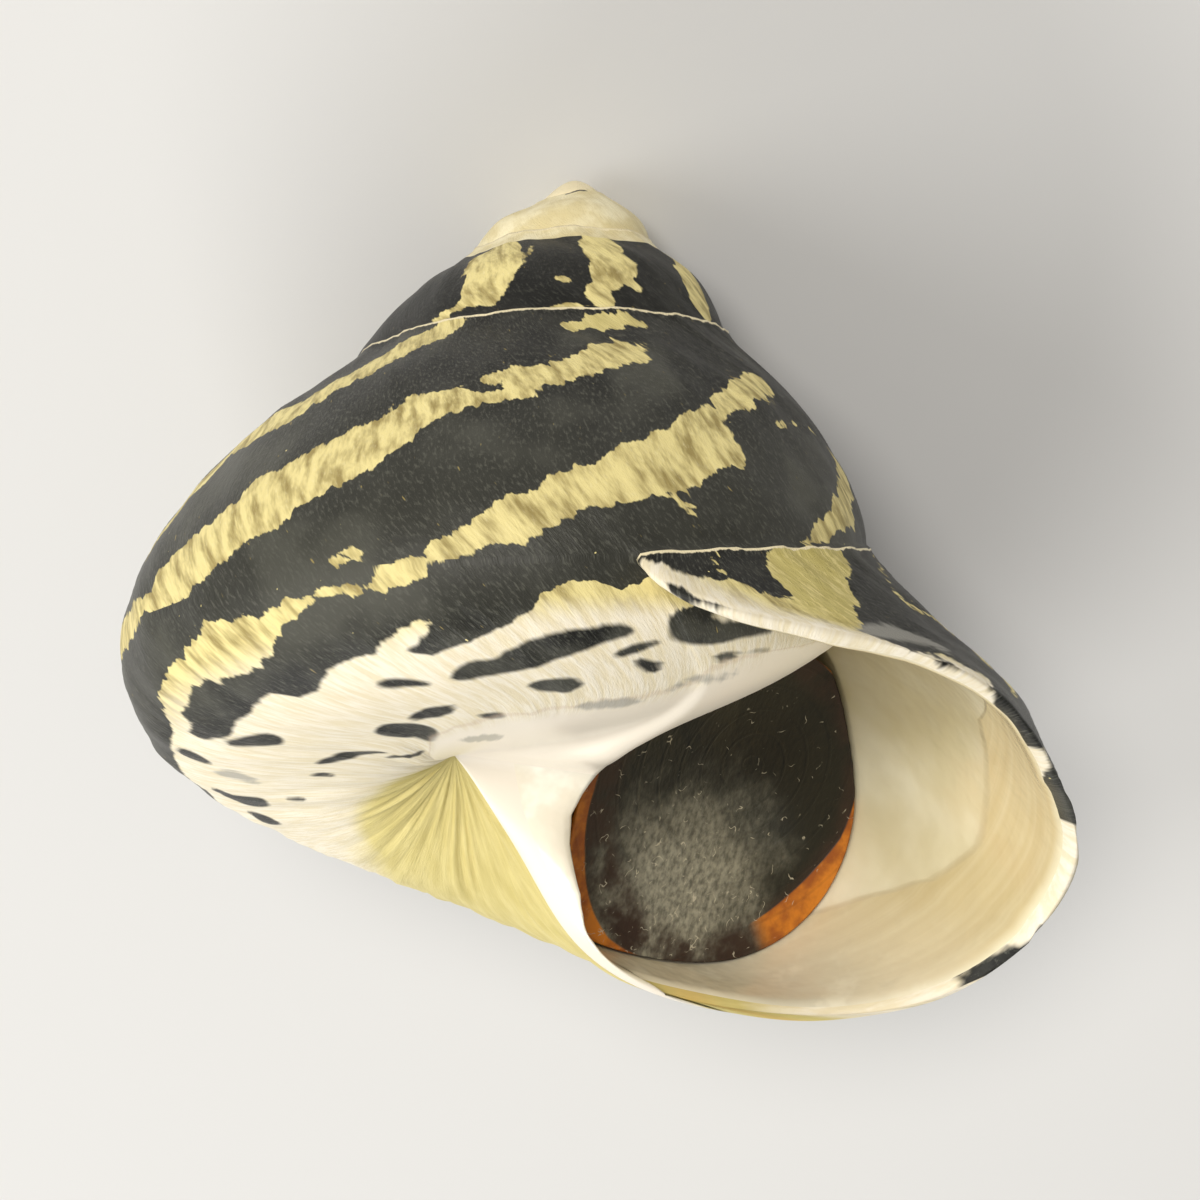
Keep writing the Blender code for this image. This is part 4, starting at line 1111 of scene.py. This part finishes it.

# Horn: the lid's near-black protein, semi-gloss and worn dull, with a grey patch of wear and painted sheen
# low on it, thin and amber at its margin.
horn = {
    "surface": {"Metallic": 0.0, "Specular IOR Level": 0.35, "Coat Weight": 0.08, "Coat Roughness": 0.22},
    "roughness": (0.33, 0.5),  # of the black and of the brown
    "bump": (0.5, 0.0002),
    "colours": {"black": "#060605", "olive": "#141511", "sheen": "#a9a593", "brown": "#32221a",
                "amber": "#cf7d22", "amberDark": "#97501a", "scratch": "#c3bba6"},
    "flat": {"cloud": ((0.3, 0.3, 1.0), 4.0, 0.55), "grit": ((2.2, 1.3, 1.0), 3.0, 0.6),
             "hairs": ((0.55, 0.55, 1.0), 2.0, 0.6), "hairPlaces": ((0.9, 0.9, 1.0), 2.0, 0.55)},
    "ringMm": 1.9, "groove": (0.86, 1.0),
    "relief": (0.5, -0.12),  # how much the grit and the groove raise the surface
    # the grey patch low on the lid, worn horn with a painted sheen: its centre, reach, shift and grit
    "wornSheenAt": (1.0, 8.0, 0.0), "wornSheenMm": (12.0, 2.0), "wornSheenShiftMm": 9.0, "wornSheenGrit": (0.25, 0.7, 0.3, 1.0),
    "brownMm": (-0.9, 0.9), "brownCloud": (0.3, 0.6),
    "thinMm": (-0.05, 0.15), "marginMm": (-0.1, 0.1),
    "hairWidth": (0.012, 0.003), "hairShares": (0.59, 0.7, 0.0, 0.8), "hairsOnWornSheen": 0.12,
    "disc": ("black", ("coil", (2.0, 9.0), 1.0, "olive"), ("wearAndSheen", None, 0.85, "sheen"),
             ("brown", None, 1.0, "brown")),
    "margin": ("amber", ("cloud", (0.4, 0.6), 1.0, "amberDark")),
    "overAll": (("groove", None, 0.12, "black"), ("scratched", None, 1.0, "scratch")),
}
hornMaterial, tree, shader = newMaterial("horn", horn["surface"])
tints = horn["colours"]
where = put(tree, "uv")
read = readings(tree, lidNames, where, horn["flat"])
# The coil's groove: the sine of the angle round the nucleus plus a turn for each ringMm outwards.
phase = put(tree, "MULTIPLY", read["coil"], turn / horn["ringMm"])
cosineShare = put(tree, "MULTIPLY", put(tree, "COSINE", phase), read["coilSin"])
spiral = put(tree, "ADD", put(tree, "MULTIPLY", put(tree, "SINE", phase), read["coilCos"]), cosineShare)
read["groove"] = put(tree, "step", spiral, *horn["groove"])
cloudShift = put(tree, "SUBTRACT", read["cloud"], 0.5)
# Painted sheen: a grey patch low on the lid, worn horn with the light's sheen painted into its colour.
fromWornSheen = put(tree, "distance", where, horn["wornSheenAt"])
wornSheenMm = put(tree, "MULTIPLY_ADD", cloudShift, horn["wornSheenShiftMm"], fromWornSheen)
gritShare = put(tree, "step", read["grit"], *horn["wornSheenGrit"])
read["wearAndSheen"] = put(tree, "MULTIPLY", put(tree, "step", wornSheenMm, *horn["wornSheenMm"]), gritShare)
brownCloud = put(tree, "step", read["cloud"], *horn["brownCloud"])
brownBandShare = put(tree, "step", read["brownBand"], *horn["brownMm"])
read["brown"] = put(tree, "MULTIPLY", brownBandShare, brownCloud, use_clamp=True)
hornColour = layered(tree, read, tints, *horn["disc"])
notDark = put(tree, "SUBTRACT", 1.0, read["flapDark"])
atMargin = put(tree, "step", read["margin"], *horn["thinMm"])
thin = put(tree, "MULTIPLY", atMargin, notDark, use_clamp=True)
hornColour = put(tree, "mix", thin, hornColour, layered(tree, read, tints, *horn["margin"]))
# Scratches are the places where a noise crosses its middle value.
fromMiddle = put(tree, "ABSOLUTE", put(tree, "SUBTRACT", read["hairs"], 0.5))
onHair = put(tree, "step", fromMiddle, *horn["hairWidth"])
hairPlace = put(tree, "MULTIPLY_ADD", read["wearAndSheen"], horn["hairsOnWornSheen"], read["hairPlaces"])
hairPlace = put(tree, "step", hairPlace, *horn["hairShares"])
read["scratched"] = put(tree, "MULTIPLY", onHair, hairPlace)
hornColour = layered(tree, read, tints, hornColour, *horn["overAll"])
tree.links.new(hornColour, shader.inputs["Base Color"])
tree.links.new(put(tree, "range", read["brown"], 0.0, 1.0, *horn["roughness"]), shader.inputs["Roughness"])
gritPart, groovePart = horn["relief"]
grooveHeight = put(tree, "MULTIPLY", read["groove"], groovePart)
height = put(tree, "MULTIPLY_ADD", read["grit"], gritPart, grooveHeight)
height = put(tree, "SUBTRACT", height, put(tree, "step", read["margin"], *horn["marginMm"]))
tree.links.new(put(tree, "bump", *horn["bump"], height), shader.inputs["Normal"])
quads, tris = laidFaces()
lidPoints = toRow(np.concatenate(points))
lidSkin = makeObject("lidSkin", lidPoints, quads.tolist() + tris.tolist(), [hornMaterial])
setFields(lidSkin, lidNames)
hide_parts("operculum")
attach(lidSkin, "root")
print("lid made")

# Stage, light and camera
stage = {"floor": "#d0d0d0", "roughness": 0.9, "halfSize": 3.0, "below": 0.00005,
         "world": "#f4f4f2", "glow": 0.25}
floorMaterial, tree, shader = newMaterial("paleFloor", {"Base Color": colour(stage["floor"]),
                                                        "Roughness": stage["roughness"]})
half = stage["halfSize"]
floorPoints = [(-half, -half, -stage["below"]), (half, -half, -stage["below"]), (half, half, -stage["below"]),
               (-half, half, -stage["below"])]
floor = makeObject("floor", floorPoints, [(0, 1, 2, 3)], [floorMaterial])

world = bpy.data.worlds.new("studio")
bpy.context.scene.world = world
world.use_nodes = True
background = world.node_tree.nodes["Background"]
background.inputs["Color"].default_value = colour(stage["world"])
background.inputs["Strength"].default_value = stage["glow"]

view = {
    "turned": Vector((-1.688, -0.14, -0.256)),  # growth frame to camera, as an axis times its angle
    "aimMm": Vector((0, 0, -32.9)),
    "distanceMm": 146.0,
    "lens": 64.6,
    "shift": (0.0497, 0.0475),
    "sensor": 36.0,
    "clip": (0.005, 20.0),
}
toCamera = Matrix.Rotation(view["turned"].length, 3, view["turned"])
eye = view["aimMm"] + toCamera.transposed() @ Vector((0, 0, view["distanceMm"]))
cameraTurn = turnedLie @ toCamera.transposed()
cameraData = bpy.data.cameras.new("camera")
cameraData.lens = view["lens"]
cameraData.sensor_width = view["sensor"]
cameraData.shift_x, cameraData.shift_y = view["shift"]
cameraData.clip_start, cameraData.clip_end = view["clip"]
camera = bpy.data.objects.new("camera", cameraData)
camera.matrix_world = Matrix.Translation((turnedLie @ eye - shiftMm) * mm) @ cameraTurn.to_4x4()
bpy.context.scene.collection.objects.link(camera)
bpy.context.scene.camera = camera
bpy.context.scene.view_settings.view_transform = "Standard"

# Round softboxes: where they stand and how wide they are in metres, and their watts.
softboxes = {
    "key": {"at": (-0.25, 0.65, 0.8), "size": 0.5, "watts": 8.0, "colour": "#fffaf2"},
    "left": {"at": (-0.6, -0.1, 0.5), "size": 0.5, "watts": 2.2, "colour": "#fffdf8"},
    "low": {"at": (-0.1, -0.6, 0.5), "size": 0.6, "watts": 4.0, "colour": "#fffdf8"},
}
lampAim = Vector((0, 0, 0.02))
for name, box in softboxes.items():
    data = bpy.data.lights.new(name, "AREA")
    data.shape = "DISK"
    data.size = box["size"]
    data.energy = box["watts"]
    data.color = colour(box["colour"])[:3]
    lamp = bpy.data.objects.new(name, data)
    lamp.location = box["at"]
    lamp.rotation_mode = "QUATERNION"
    lamp.rotation_quaternion = (lampAim - Vector(box["at"])).to_track_quat("-Z", "Y")
    bpy.context.scene.collection.objects.link(lamp)
